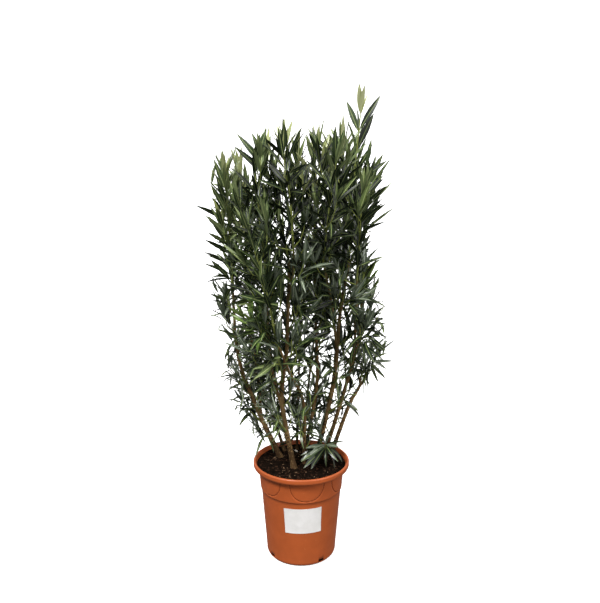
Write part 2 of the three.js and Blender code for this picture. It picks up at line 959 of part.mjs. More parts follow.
// One mass: a three-sided stem with side twigs and rings of leaves, fused and cut clear of its limb.
function buildMass(mass, masses, seed) {
  const choose = chooser(seed);
  const isLong = mass.whorls >= TWIG.longFrom;
  const foot = Math.max(mass.radius * TWIG.overLimb, TWIG.radius);
  const thickness = (t) => THREE.MathUtils.lerp(foot, TWIG.radius, t);
  const twigs = [sweep(mass.curve, thickness, 3, isLong ? TWIG.rings : TWIG.shortRings)];
  const leaves = [];
  const { last, tipSize } = WHORL;
  const first = mass.atTip ? WHORL.first : WHORL.firstOnSide;
  addWhorls(leaves, mass, masses, mass.curve, { ...mass, first, last, tipSize }, choose);
  if (isLong) addSideTwigs(twigs, leaves, mass, masses, choose);
  const up = mass.curve.getTangent(1);
  const topLeaf = leafPlan(mass.curve.getPoint(last), up, across(up).first, LEAF.length * TOP_LEAF);
  if (leafIsFree(topLeaf, mass, masses)) leaves.push({ ...topLeaf, solid: solidLeaf(topLeaf) });
  const grown = wasm.Manifold.union([...twigs, ...leaves.map((leaf) => leaf.solid)]);
  const cut = grown.subtract(solidLimb(mass.limb, GAP));
  addPiece(mass.name, geometryOf(tidied(cut, TIDY.mass)), 'leaf');
}

// ---------- Build ----------

buildPot();
buildSoil();
buildLabel();
buildLimbs();
const masses = [...TIP_MASSES, ...SIDE_MASSES].map(massPlan);
masses.forEach((mass, i) => buildMass(mass, masses, SEED.first + SEED.step * i));

export default model;
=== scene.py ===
"""Dressed model of a potted oleander.

A bushy shrub of many canes stands in a round plastic pot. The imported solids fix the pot, the limbs
and the room of every mass of leaves. This script grows the plant again from the same limbs by the
same rule, and carries it on to finer twigs, whorls of slim leaves and young tips.
Metres, +Z up, +X to the right, -Y to the front.
"""

import logging
import math
from dataclasses import dataclass, field
from enum import Enum
from typing import Sequence

import bpy
import numpy as np
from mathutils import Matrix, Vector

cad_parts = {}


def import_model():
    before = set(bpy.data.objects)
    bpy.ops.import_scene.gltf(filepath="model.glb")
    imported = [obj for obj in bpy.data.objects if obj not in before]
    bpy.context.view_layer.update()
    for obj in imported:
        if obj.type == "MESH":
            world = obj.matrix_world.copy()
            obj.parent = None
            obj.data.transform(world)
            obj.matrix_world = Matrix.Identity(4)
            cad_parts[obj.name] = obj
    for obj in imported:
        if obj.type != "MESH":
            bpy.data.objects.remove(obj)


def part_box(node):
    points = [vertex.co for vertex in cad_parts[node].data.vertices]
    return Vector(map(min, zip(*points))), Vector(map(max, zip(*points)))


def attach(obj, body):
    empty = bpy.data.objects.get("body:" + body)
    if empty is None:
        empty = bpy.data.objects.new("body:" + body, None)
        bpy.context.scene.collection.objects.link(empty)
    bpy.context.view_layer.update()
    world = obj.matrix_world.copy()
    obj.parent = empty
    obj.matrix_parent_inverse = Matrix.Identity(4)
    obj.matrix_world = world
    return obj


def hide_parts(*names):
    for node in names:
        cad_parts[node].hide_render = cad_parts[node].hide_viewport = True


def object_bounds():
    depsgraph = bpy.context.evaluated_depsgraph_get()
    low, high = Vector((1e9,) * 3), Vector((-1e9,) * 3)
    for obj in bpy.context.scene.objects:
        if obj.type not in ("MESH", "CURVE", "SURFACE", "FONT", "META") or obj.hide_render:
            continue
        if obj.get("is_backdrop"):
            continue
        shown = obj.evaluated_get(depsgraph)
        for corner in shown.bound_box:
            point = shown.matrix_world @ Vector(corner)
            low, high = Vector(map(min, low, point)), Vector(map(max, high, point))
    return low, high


log = logging.getLogger("oleander")

MM = 0.001
BODY = "root"

Array = np.ndarray
Pair = tuple[float, float]
Point = tuple[float, float, float]


# ---------- Numbers along a line ----------


def unit(vectors: Array) -> Array:
    """The vectors, each scaled to a length of one."""
    return vectors / np.linalg.norm(vectors, axis=-1, keepdims=True)


def blend(start: float, end: float, share: float | Array) -> float | Array:
    """The value at a share of the way from start to end."""
    return start + (end - start) * share


def ease(low: float, high: float, value: Array) -> Array:
    """A smooth step that is 0 below low and 1 above high."""
    share = np.clip((value - low) / (high - low), 0.0, 1.0)
    return share * share * (3.0 - 2.0 * share)


class Curve:
    """A smooth line through a few points, the one that the solids' limbs follow."""

    HEADING_STEP = 1e-3
    MEASURED_AT = 41
    SEARCHED_AT = 801

    def __init__(self, points: Sequence[Sequence[float]]) -> None:
        """Keep the points.

        Args:
            points: The points that the line goes through, from its start to its end.
        """
        self.points = np.array(points, float)

    def at(self, share: float | Array) -> Array:
        """The places at shares of the way.

        Args:
            share: Shares of the way, from 0 at the start to 1 at the end.

        Returns:
            One place for each share.
        """
        stops = self.points
        last = len(stops) - 1
        way = np.clip(np.asarray(share, float), 0.0, 1.0) * last
        piece = np.minimum(way.astype(int), last - 1)
        part = (way - piece)[..., None]
        padded = np.vstack([2 * stops[0] - stops[1], stops, 2 * stops[-1] - stops[-2]])
        before, start, end, after = (padded[piece + k] for k in range(4))
        leave = 0.5 * (end - before)
        arrive = 0.5 * (after - start)
        square = 3 * (end - start) - 2 * leave - arrive
        cube = 2 * (start - end) + leave + arrive
        return start + part * (leave + part * (square + part * cube))

    def heading(self, share: float | Array) -> Array:
        """The unit directions of the line at shares of the way."""
        share = np.asarray(share, float)
        ahead = self.at(np.minimum(share + self.HEADING_STEP, 1.0))
        return unit(ahead - self.at(np.maximum(share - self.HEADING_STEP, 0.0)))

    def length(self) -> float:
        """The length of the line."""
        places = self.at(np.linspace(0.0, 1.0, self.MEASURED_AT))
        return float(np.linalg.norm(np.diff(places, axis=0), axis=1).sum())

    def share_at_height(self, height: float) -> float:
        """The share of the way at which the line reaches a height."""
        shares = np.linspace(0.0, 1.0, self.SEARCHED_AT)
        return float(np.interp(height, self.at(shares)[:, 2], shares))


# Where a heading's sideways part is larger, the reference direction is +Y and not +X.
NEARLY_SIDEWAYS = 0.8


def across(heading: Array) -> tuple[Array, Array]:
    """Two directions square to each heading, chosen as the solids choose them.

    Args:
        heading: Unit directions.

    Returns:
        The first and the second direction for each heading.
    """
    steep = np.abs(heading[..., :1]) < NEARLY_SIDEWAYS
    reference = np.where(steep, [1.0, 0.0, 0.0], [0.0, 1.0, 0.0])
    second = unit(np.cross(heading, reference))
    return unit(np.cross(second, heading)), second


# ---------- Meshes gathered from many parts ----------


@dataclass
class Surface:
    """Corners and faces of one mesh, gathered part by part."""

    corners: list[Array] = field(default_factory=list)
    faces: list[Array] = field(default_factory=list)
    slots: list[Array] = field(default_factory=list)
    count: int = 0

    def add(self, corners: Array, faces: Array, slot: int | Array = 0) -> None:
        """Add faces that share a number of sides.

        Args:
            corners: The new corners, one row each.
            faces: Rows of corner numbers, counted from the first new corner.
            slot: The finish of each face, or one for all.
        """
        self.corners.append(corners)
        self.add_faces(faces + self.count, slot)
        self.count += len(corners)

    def add_faces(self, faces: Array, slot: int | Array = 0) -> None:
        """Add faces between corners that are there already, numbered over the whole mesh."""
        self.faces.append(faces)
        self.slots.append(np.broadcast_to(slot, len(faces)))

    def triangles(self) -> int:
        """How many triangles the mesh has."""
        return sum(len(faces) * (faces.shape[1] - 2) for faces in self.faces)

    def piece(self, name: str, finishes: Sequence["Finish"], crease: float = 40.0) -> bpy.types.Object:
        """Make the mesh's object.

        Args:
            name: The piece's name.
            finishes: The finish of each slot.
            crease: Edges sharper than this many degrees stay sharp.

        Returns:
            The new object, which rides on the model's only body.
        """
        mesh = bpy.data.meshes.new(name)
        corners = np.concatenate(self.corners).astype(np.float32)
        sides = np.concatenate([np.full(len(faces), faces.shape[1]) for faces in self.faces])
        loops = np.concatenate([faces.ravel() for faces in self.faces]).astype(np.int32)
        mesh.vertices.add(len(corners))
        mesh.vertices.foreach_set("co", corners.ravel())
        mesh.loops.add(len(loops))
        mesh.loops.foreach_set("vertex_index", loops)
        mesh.polygons.add(len(sides))
        mesh.polygons.foreach_set("loop_start", (np.cumsum(sides) - sides).astype(np.int32))
        mesh.polygons.foreach_set("material_index", np.concatenate(self.slots).astype(np.int32))
        mesh.update(calc_edges=True)
        mesh.shade_smooth()
        mesh.set_sharp_from_angle(angle=math.radians(crease))
        for finish in finishes:
            mesh.materials.append(finish.material())
        made = bpy.data.objects.new(name, mesh)
        bpy.context.scene.collection.objects.link(made)
        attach(made, BODY)
        log.info("%s: %d triangles", name, self.triangles())
        return made


def ring_faces(rings: int, sides: int) -> Array:
    """Four-sided faces between closed rings of corners, one ring after the other."""
    ring, side = np.meshgrid(np.arange(rings - 1), np.arange(sides), indexing="ij")
    start = ring * sides + side
    beside = ring * sides + (side + 1) % sides
    return np.stack([start, beside, beside + sides, start + sides], axis=-1).reshape(-1, 4)


# The same for a whole tube, by the mean of its headings.
MOSTLY_SIDEWAYS = 0.7


def add_tube(
    surface: Surface,
    curve: Curve,
    shares: Array,
    radii: Array,
    slots: int | Array = 0,
) -> None:
    """Add a closed tube along a curve.

    Args:
        surface: The mesh that takes the tube.
        curve: The tube's centre line.
        shares: Where along the curve each ring lies.
        radii: The radius of each corner, one row for each ring.
        slots: The finish of each face between the rings, or one for all.
    """
    rings, sides = radii.shape
    centres = curve.at(shares)
    headings = curve.heading(shares)
    level = np.abs(headings.mean(axis=0)[0]) > MOSTLY_SIDEWAYS
    reference = np.array([0.0, 1.0, 0.0]) if level else np.array([1.0, 0.0, 0.0])
    second = unit(np.cross(headings, reference))
    first = np.cross(second, headings)
    turn = np.arange(sides) * 2 * math.pi / sides
    out = first[:, None] * np.cos(turn)[:, None] + second[:, None] * -np.sin(turn)[:, None]
    corners = (centres[:, None] + out * radii[..., None]).reshape(-1, 3)
    base = surface.count
    surface.add(corners, ring_faces(rings, sides)[:, ::-1], slots)
    surface.add_faces(np.arange(sides)[None] + base)
    surface.add_faces((np.arange(sides)[::-1] + (rings - 1) * sides)[None] + base)


# ---------- Finishes ----------


def linear(code: str) -> tuple[float, float, float, float]:
    """The base colour of a screen colour written as six hexadecimal digits."""
    parts = [int(code[i : i + 2], 16) / 255 for i in (0, 2, 4)]
    red, green, blue = (c / 12.92 if c <= 0.04045 else ((c + 0.055) / 1.055) ** 2.4 for c in parts)
    return red, green, blue, 1.0


# The noise levels where patches begin and are full, the soft edge of a speck and the spread of dullness.
PATCH_LEVELS = (0.38, 0.62)
SPECK_EDGE = 0.04
DULLNESS_SPREAD = 0.05
NOISE_DETAIL = 3.0


@dataclass(frozen=True)
class Finish:
    """A surface with a mottled colour, small specks and a fine relief.

    Attributes:
        name: The finish in plain words.
        colour: The main colour, as six hexadecimal digits.
        mottle: The colour of soft patches.
        patch: The size of the patches.
        roughness: How dull the surface is, from 0 to 1.
        relief: The depth of the fine relief.
        grain: The size of the relief's grains.
        speck: The colour of small specks.
        speck_size: The size of the specks.
        speck_share: The noise level above which specks show; 1 leaves them out.
        stretch: How tightly the pattern is packed along each axis.
        specular: The strength of the surface's own reflection.
    """

    name: str
    colour: str
    mottle: str
    patch: float
    roughness: float
    relief: float = 0.0002
    grain: float = 0.002
    speck: str = "ffffff"
    speck_size: float = 0.003
    speck_share: float = 1.0
    stretch: tuple[float, float, float] = (1.0, 1.0, 1.0)
    specular: float = 0.5

    def material(self) -> bpy.types.Material:
        """The finish as a material, made at its first use."""
        known = bpy.data.materials.get(self.name)
        if known:
            return known
        made = bpy.data.materials.new(self.name)
        made.use_nodes = True
        tree = made.node_tree
        shader = tree.nodes["Principled BSDF"]
        shader.inputs["Specular IOR Level"].default_value = self.specular
        spot = tree.nodes.new("ShaderNodeTexCoord").outputs["Object"]
        packed = tree.nodes.new("ShaderNodeMapping")
        packed.inputs["Scale"].default_value = self.stretch
        tree.links.new(spot, packed.inputs["Vector"])
        patches = self._noise(tree, packed, self.patch, *PATCH_LEVELS)
        colour = self._mixed(tree, patches, linear(self.colour), linear(self.mottle))
        if self.speck_share < 1.0:
            full = self.speck_share + SPECK_EDGE
            specks = self._noise(tree, packed, self.speck_size, self.speck_share, full)
            colour = self._mixed(tree, specks, colour, linear(self.speck))
        tree.links.new(colour, shader.inputs["Base Color"])
        dull = tree.nodes.new("ShaderNodeMapRange")
        dull.inputs["To Min"].default_value = self.roughness - DULLNESS_SPREAD
        dull.inputs["To Max"].default_value = self.roughness + DULLNESS_SPREAD
        tree.links.new(patches, dull.inputs["Value"])
        tree.links.new(dull.outputs["Result"], shader.inputs["Roughness"])
        bump = tree.nodes.new("ShaderNodeBump")
        bump.inputs["Distance"].default_value = self.relief
        tree.links.new(self._noise(tree, packed, self.grain, 0.0, 1.0), bump.inputs["Height"])
        tree.links.new(bump.outputs["Normal"], shader.inputs["Normal"])
        return made

    @staticmethod
    def _noise(
        tree: bpy.types.NodeTree, place: bpy.types.Node, size: float, low: float, high: float
    ) -> bpy.types.NodeSocket:
        """Noise with features of one size, spread to the range from 0 to 1 between two levels.

        Args:
            tree: The material's node tree.
            place: The node that gives the place.
            size: The size of the features.
            low: The noise level that becomes 0.
            high: The noise level that becomes 1.

        Returns:
            The socket that gives the noise.
        """
        noise = tree.nodes.new("ShaderNodeTexNoise")
        noise.inputs["Scale"].default_value = 1.0 / size
        noise.inputs["Detail"].default_value = NOISE_DETAIL
        tree.links.new(place.outputs["Vector"], noise.inputs["Vector"])
        spread = tree.nodes.new("ShaderNodeMapRange")
        spread.inputs["From Min"].default_value = low
        spread.inputs["From Max"].default_value = high
        tree.links.new(noise.outputs["Fac"], spread.inputs["Value"])
        return spread.outputs["Result"]

    @staticmethod
    def _mixed(
        tree: bpy.types.NodeTree,
        share: bpy.types.NodeSocket,
        start: bpy.types.NodeSocket | tuple[float, float, float, float],
        end: tuple[float, float, float, float],
    ) -> bpy.types.NodeSocket:
        """A colour mixed from two by a share.

        Args:
            tree: The material's node tree.
            share: The socket that gives the share of the second colour.
            start: The first colour, or the socket that gives it.
            end: The second colour.

        Returns:
            The socket that gives the mixed colour.
        """
        mix = tree.nodes.new("ShaderNodeMix")
        mix.data_type = "RGBA"
        tree.links.new(share, mix.inputs[0])
        if isinstance(start, tuple):
            mix.inputs[6].default_value = start
        else:
            tree.links.new(start, mix.inputs[6])
        mix.inputs[7].default_value = end
        return mix.outputs[2]


def bark_finish(
    name: str,
    colours: tuple[str, str, str],
    roughness: float,
    relief: float,
    specks: Pair,
    stretch: float = 0.35,
    specular: float = 0.15,
) -> Finish:
    """A finish for bark, its pattern drawn out along the limb.

    Args:
        name: The kind of bark.
        colours: The main colour, the colour of the patches and that of the specks.
        roughness: How dull it is, from 0 to 1.
        relief: The depth of the fine relief.
        specks: The size of the specks and the noise level above which they show.
        stretch: How tightly the pattern is packed upwards.
        specular: The strength of the surface's own reflection.

    Returns:
        The finish.
    """
    main, mottle, speck = colours
    return Finish(
        name=f"{name} bark",
        colour=main,
        mottle=mottle,
        patch=0.02,
        roughness=roughness,
        relief=relief,
        grain=0.003,
        speck=speck,
        speck_size=specks[0],
        speck_share=specks[1],
        stretch=(1.0, 1.0, stretch),
        specular=specular,
    )


PLASTIC = Finish(
    name="terracotta plastic",
    colour="ab5429",
    mottle="a45026",
    patch=0.05,
    roughness=0.36,
    relief=0.00012,
    grain=0.0016,
    speck="b86539",
    speck_size=0.010,
    speck_share=0.70,
    specular=0.4,
)
# Painted shade for the swag lines: the same plastic, darker, on the faces pressed deepest.
GROOVE_SHADE = Finish("pressed line in the plastic", "7e3b1b", "743617", 0.02, 0.6, specular=0.2)
COMPOST = Finish(
    name="damp compost",
    colour="0f0b08",
    mottle="1a130e",
    patch=0.012,
    roughness=0.95,
    relief=0.002,
    grain=0.004,
    speck="30241a",
    speck_size=0.005,
    speck_share=0.66,
    specular=0.0,
)
PEAT = Finish("peat lump", "140f0b", "1d1510", 0.008, 0.95, 0.001, 0.002, specular=0.0)
CHIP = Finish("bark chip", "2b1d15", "3d291d", 0.006, 0.9, 0.0008, 0.002, specular=0.05)
PALE_CHIP = Finish("pale bark chip", "5c4836", "7a6149", 0.006, 0.85, 0.0006, 0.002, specular=0.2)
FLECK = Finish("pale fleck", "dcd5ca", "cfc6b8", 0.006, 0.8, 0.0004, 0.002, specular=0.2)
PAPER = Finish("bare paper", "dfdddb", "d9d7d4", 0.03, 0.8, 0.0002, 0.006)
CUT_WOOD = Finish("cut wood", "b59a6c", "9a8059", 0.003, 0.8)

# The bark of canes and boughs, from the foot of the plant up: darkest at the foot and lighter above, partly
# the ageing of the bark and partly painted shade at the foot and painted light on the canes higher up.
BARK = (
    bark_finish("foot", ("4d3922", "3b2a19", "6f5b3d"), 0.85, 0.0008, (0.004, 0.6)),
    bark_finish("old", ("8b7149", "6f5738", "9a815a"), 0.85, 0.0008, (0.004, 0.6)),
    bark_finish("ripe", ("9f855a", "826a46", "a08a62"), 0.8, 0.0006, (0.004, 0.62)),
    bark_finish("ripening", ("7d7049", "6c603e", "93855d"), 0.7, 0.0004, (0.003, 0.64), 0.4, 0.2),
    bark_finish("green", ("7a8049", "6c723f", "868b58"), 0.6, 0.0003, (0.003, 0.68), 0.5, 0.2),
)
TWIG_BARK = (
    Finish("olive twig", "868e4c", "788042", 0.015, 0.55, specular=0.2),
    Finish("young twig", "9aa45a", "8c964e", 0.015, 0.5, specular=0.2),
)


@dataclass(frozen=True)
class LeafFinish:
    """The three colours of a leaf: its upper face, its midrib and its underside."""

    name: str
    upper: str
    upper_mottle: str
    rib: str
    under: str

    def slots(self) -> tuple[Finish, Finish, Finish]:
        """The finishes of the upper face, the midrib and the underside."""
        upper, rib, under = self.upper, self.rib, self.under
        return (
            Finish(f"{self.name} leaf", upper, self.upper_mottle, 0.018, 0.33, 0.0002, 0.003, specular=0.55),
            Finish(f"{self.name} midrib", rib, rib, 0.02, 0.5, specular=0.2),
            Finish(f"{self.name} underside", under, under, 0.02, 0.62, 0.0002, 0.002, specular=0.15),
        )


class Tint(Enum):
    """The colours of leaves, from old and dark to the palest young tips. DARK and DEEP are partly the dark
    green of old leaves and partly painted shade inside the crown; GREY is partly a painted sheen of the white
    sky, and PALE partly a painted highlight on lit tips.
    """

    # DARK and DEEP: the dark green of old leaves, darkened further as painted shade.
    DARK = LeafFinish("dark", "0e160a", "0b1208", "626e43", "232d1d")
    DEEP = LeafFinish("deep", "182610", "131f0c", "7a8752", "2f3c25")
    MID = LeafFinish("middling", "364924", "2d3f1e", "9ca86e", "4a5838")
    OLIVE = LeafFinish("olive", "647442", "596938", "adb67e", "7b8a5c")
    FRESH = LeafFinish("fresh", "5b772e", "526d29", "99ab62", "778a4d")
    LIME = LeafFinish("yellow-green", "8f975a", "838c50", "b9bf88", "9ca26f")
    # GREY: grey-green leaves, paled partly as a painted sheen of the white sky.
    GREY = LeafFinish("grey-green", "5c6753", "525d49", "a9b09b", "727c6a")
    # PALE: young tips, paled partly as a painted highlight.
    PALE = LeafFinish("pale", "c3c98a", "b5bc7c", "d6daab", "c6cb98")


# ---------- Pot, soil and label ----------


def arc(centre: Pair, radius: float, start: float, end: float, steps: int) -> Array:
    """Points on an arc, from one angle in degrees to another."""
    angles = np.radians(np.linspace(start, end, steps + 1))
    return np.stack([centre[0] + radius * np.cos(angles), centre[1] + radius * np.sin(angles)], axis=-1)


def line(start: Pair, end: Pair, step: float) -> Array:
    """Points on a straight line, at most a step apart, without the last one."""
    count = max(1, math.ceil(math.dist(start, end) / step))
    return np.linspace(start, end, count + 1)[:-1]


@dataclass
class Pot:
    """The round pot with a raised band of swags under its rolled rim, and drain slots at its foot."""

    height: float
    rim_radius: float
    foot_radius: float = 0.113
    base_round: float = 0.018
    groove_height: float = 0.269
    groove_radius: float = 0.15
    band_step: float = 0.0035
    neck_height: float = 0.352
    neck_radius: float = 0.160
    rim_underside: float = 0.355
    mouth_radius: float = 0.170
    wall: float = 0.0028
    floor: float = 0.004
    rim_bead: float = 0.005
    wall_rise: float = 0.004
    shoulder_rise: float = 0.003
    lip_inset: float = 0.002
    edge_rise: float = 0.004
    mouth_bevel: Pair = (0.0035, 0.003)
    mouth_step: Pair = (0.003, 0.001)
    sides: int = 600
    swags: int = 6
    swag_turn: float = 7.7
    swag_half: float = 23.5
    swag_bottom: float = 0.277
    swag_round: float = 2.4
    swag_line: float = 0.0019
    swag_depth: float = 0.0018
    swag_fade: tuple[float, float, float] = (0.004, 0.008, 0.002)
    # The share of the swag depth beyond which faces take the painted shade.
    pressed_from: float = 0.6
    slots: int = 4
    slot_angle: float = 35.0
    slot_size: tuple[float, float, float] = (0.025, 0.036, 0.016)
    slot_bottom: float = 0.006

    @classmethod
    def of_frame(cls) -> "Pot":
        """The pot at the height and width of its solid."""
        low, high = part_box("pot")
        return cls(height=high.z, rim_radius=(high.x - low.x) / 2)

    def wall_radius(self, height: float | Array) -> float | Array:
        """The outer radius of the plain wall below the band."""
        share = (height - self.base_round) / (self.groove_height - self.base_round)
        return blend(self.foot_radius + self.base_round, self.groove_radius, share)

    def outside(self) -> Array:
        """The outer profile, from the middle of the underside up to the mouth, as radius and height."""
        floor_step, wall_step, band_step = 0.030, 0.012, 0.002
        lip_step, rim_step, edge_step, bevel_step = 0.006, 0.004, 0.001, 0.0012
        foot = (self.foot_radius, self.base_round)
        wall_foot = (self.foot_radius + self.base_round, self.base_round + self.wall_rise)
        groove = (self.groove_radius, self.groove_height)
        shoulder = (self.groove_radius + self.band_step, self.groove_height + self.shoulder_rise)
        neck = (self.neck_radius, self.neck_height)
        lip = (self.rim_radius - self.lip_inset, self.rim_underside)
        edge = (self.rim_radius, self.rim_underside + self.edge_rise)
        bead = (self.rim_radius - self.rim_bead, self.height - self.rim_bead)
        bevel_out, bevel_down = self.mouth_bevel
        bevel = (self.mouth_radius + bevel_out, self.height)
        mouth = (self.mouth_radius, self.height - bevel_down)
        return np.concatenate(
            [
                line((0.0, 0.0), (self.foot_radius, 0.0), floor_step),
                arc(foot, self.base_round, -90, 0, 10),
                line(wall_foot, groove, wall_step),
                line(groove, shoulder, edge_step),
                line(shoulder, neck, band_step),
                line(neck, lip, lip_step),
                line(lip, edge, edge_step),
                line(edge, (self.rim_radius, bead[1]), rim_step),
                arc(bead, self.rim_bead, 0, 90, 6),
                line(bevel, mouth, bevel_step),
            ]
        )

    def inside(self, inset: float) -> Array:
        """The inner profile, from the middle of the floor up to the mouth, moved inwards by an inset."""
        low = self.floor + inset
        inner = self.base_round - self.wall - inset
        thick = self.wall + inset
        inward, rise = self.mouth_step
        return np.concatenate(
            [
                [(0.0, low)],
                arc((self.foot_radius, low + inner), inner, -90, 0, 6),
                [
                    (self.groove_radius - thick, self.groove_height),
                    (self.neck_radius - thick, self.neck_height),
                    (self.neck_radius - inset, self.rim_underside + thick),
                    (self.mouth_radius - inward - inset, self.rim_underside + thick + rise),
                ],
            ]
        )

    def swag_relief(self, turn: Array, height: Array) -> Array:
        """How far the outlines of the hanging swags are pressed into the band.

        Args:
            turn: Angles round the pot in degrees, from the front to the right.
            height: Heights, one for each angle.

        Returns:
            The depth at each place.
        """
        spacing = 360 / self.swags
        from_middle = (turn - self.swag_turn + spacing / 2) % spacing - spacing / 2
        drop = self.neck_height - self.swag_bottom
        reach = math.radians(self.swag_half) * self.neck_radius
        sideways = np.radians(from_middle) * self.neck_radius / reach
        down = (self.neck_height - height) / drop
        power = self.swag_round
        ring = (np.abs(sideways) ** power + np.abs(down) ** power) ** (1 / power)
        away = (ring - 1.0) * min(reach, drop)
        none, full, top = self.swag_fade
        rising = ease(self.groove_height + none, self.groove_height + full, height)
        falling = 1.0 - ease(self.neck_height - top, self.neck_height, height)
        return self.swag_depth * np.exp(-((away / self.swag_line) ** 2)) * rising * falling

    def build(self) -> bpy.types.Object:
        """Turn the profile, press the swags in and cut the drain slots."""
        profile = np.concatenate([self.outside(), self.inside(0.0)[::-1]])[1:-1]
        turn = np.arange(self.sides) * 360 / self.sides
        radius = np.repeat(profile[:, :1], self.sides, axis=1)
        height = np.repeat(profile[:, 1:], self.sides, axis=1)
        outer = (np.arange(len(profile)) < len(self.outside()))[:, None]
        relief = outer * self.swag_relief(turn[None], height)
        radius = radius - relief
        angle = np.radians(turn)
        corners = np.stack([radius * np.sin(angle), -radius * np.cos(angle), height], axis=-1).reshape(-1, 3)
        # The faces pressed deepest take the darker finish: painted shade in the swag lines.
        pressed = relief[:-1] > self.pressed_from * self.swag_depth
        shell = Surface()
        ends = np.array([[0.0, 0.0, 0.0], [0.0, 0.0, self.floor]])
        walls = ring_faces(len(profile), self.sides)
        shell.add(np.vstack([corners, ends]), walls, pressed.astype(int).ravel())
        for end, first, flip in ((len(corners), 0, 1), (len(corners) + 1, len(corners) - self.sides, -1)):
            rim = first + np.arange(self.sides)
            fan = np.stack([np.full(self.sides, end), np.roll(rim, -1), rim], axis=-1)
            shell.add_faces(fan[:, ::flip])
        pot = shell.piece("pot_shell", [PLASTIC, GROOVE_SHADE], crease=50.0)
        self._cut_slots(pot)
        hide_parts("pot")
        return pot

    def _cut_slots(self, pot: bpy.types.Object) -> None:
        """Cut the drain slots out of the rounded foot."""
        knives = Surface()
        unit_box = np.array([(x, y, z) for z in (-0.5, 0.5) for y in (-0.5, 0.5) for x in (-0.5, 0.5)])
        box_faces = np.array(
            [(0, 2, 3, 1), (4, 5, 7, 6), (0, 1, 5, 4), (2, 6, 7, 3), (0, 4, 6, 2), (1, 3, 7, 5)]
        )
        out = self.foot_radius + self.base_round
        for k in range(self.slots):
            angle = math.radians(self.slot_angle + 360 / self.slots * k)
            x, y, z = (unit_box * self.slot_size).T
            y = y - out
            z = z + self.slot_bottom + self.slot_size[2] / 2
            cosine, sine = math.cos(angle), math.sin(angle)
            knives.add(np.stack([x * cosine - y * sine, x * sine + y * cosine, z], axis=-1), box_faces)
        knife = knives.piece("slot_knife", [PLASTIC])
        cut = pot.modifiers.new("drain slots", "BOOLEAN")
        cut.object = knife
        cut.operation = "DIFFERENCE"
        cut.solver = "EXACT"
        finished = bpy.data.meshes.new_from_object(pot.evaluated_get(bpy.context.evaluated_depsgraph_get()))
        pot.modifiers.clear()
        pot.data = finished
        bpy.data.objects.remove(knife)


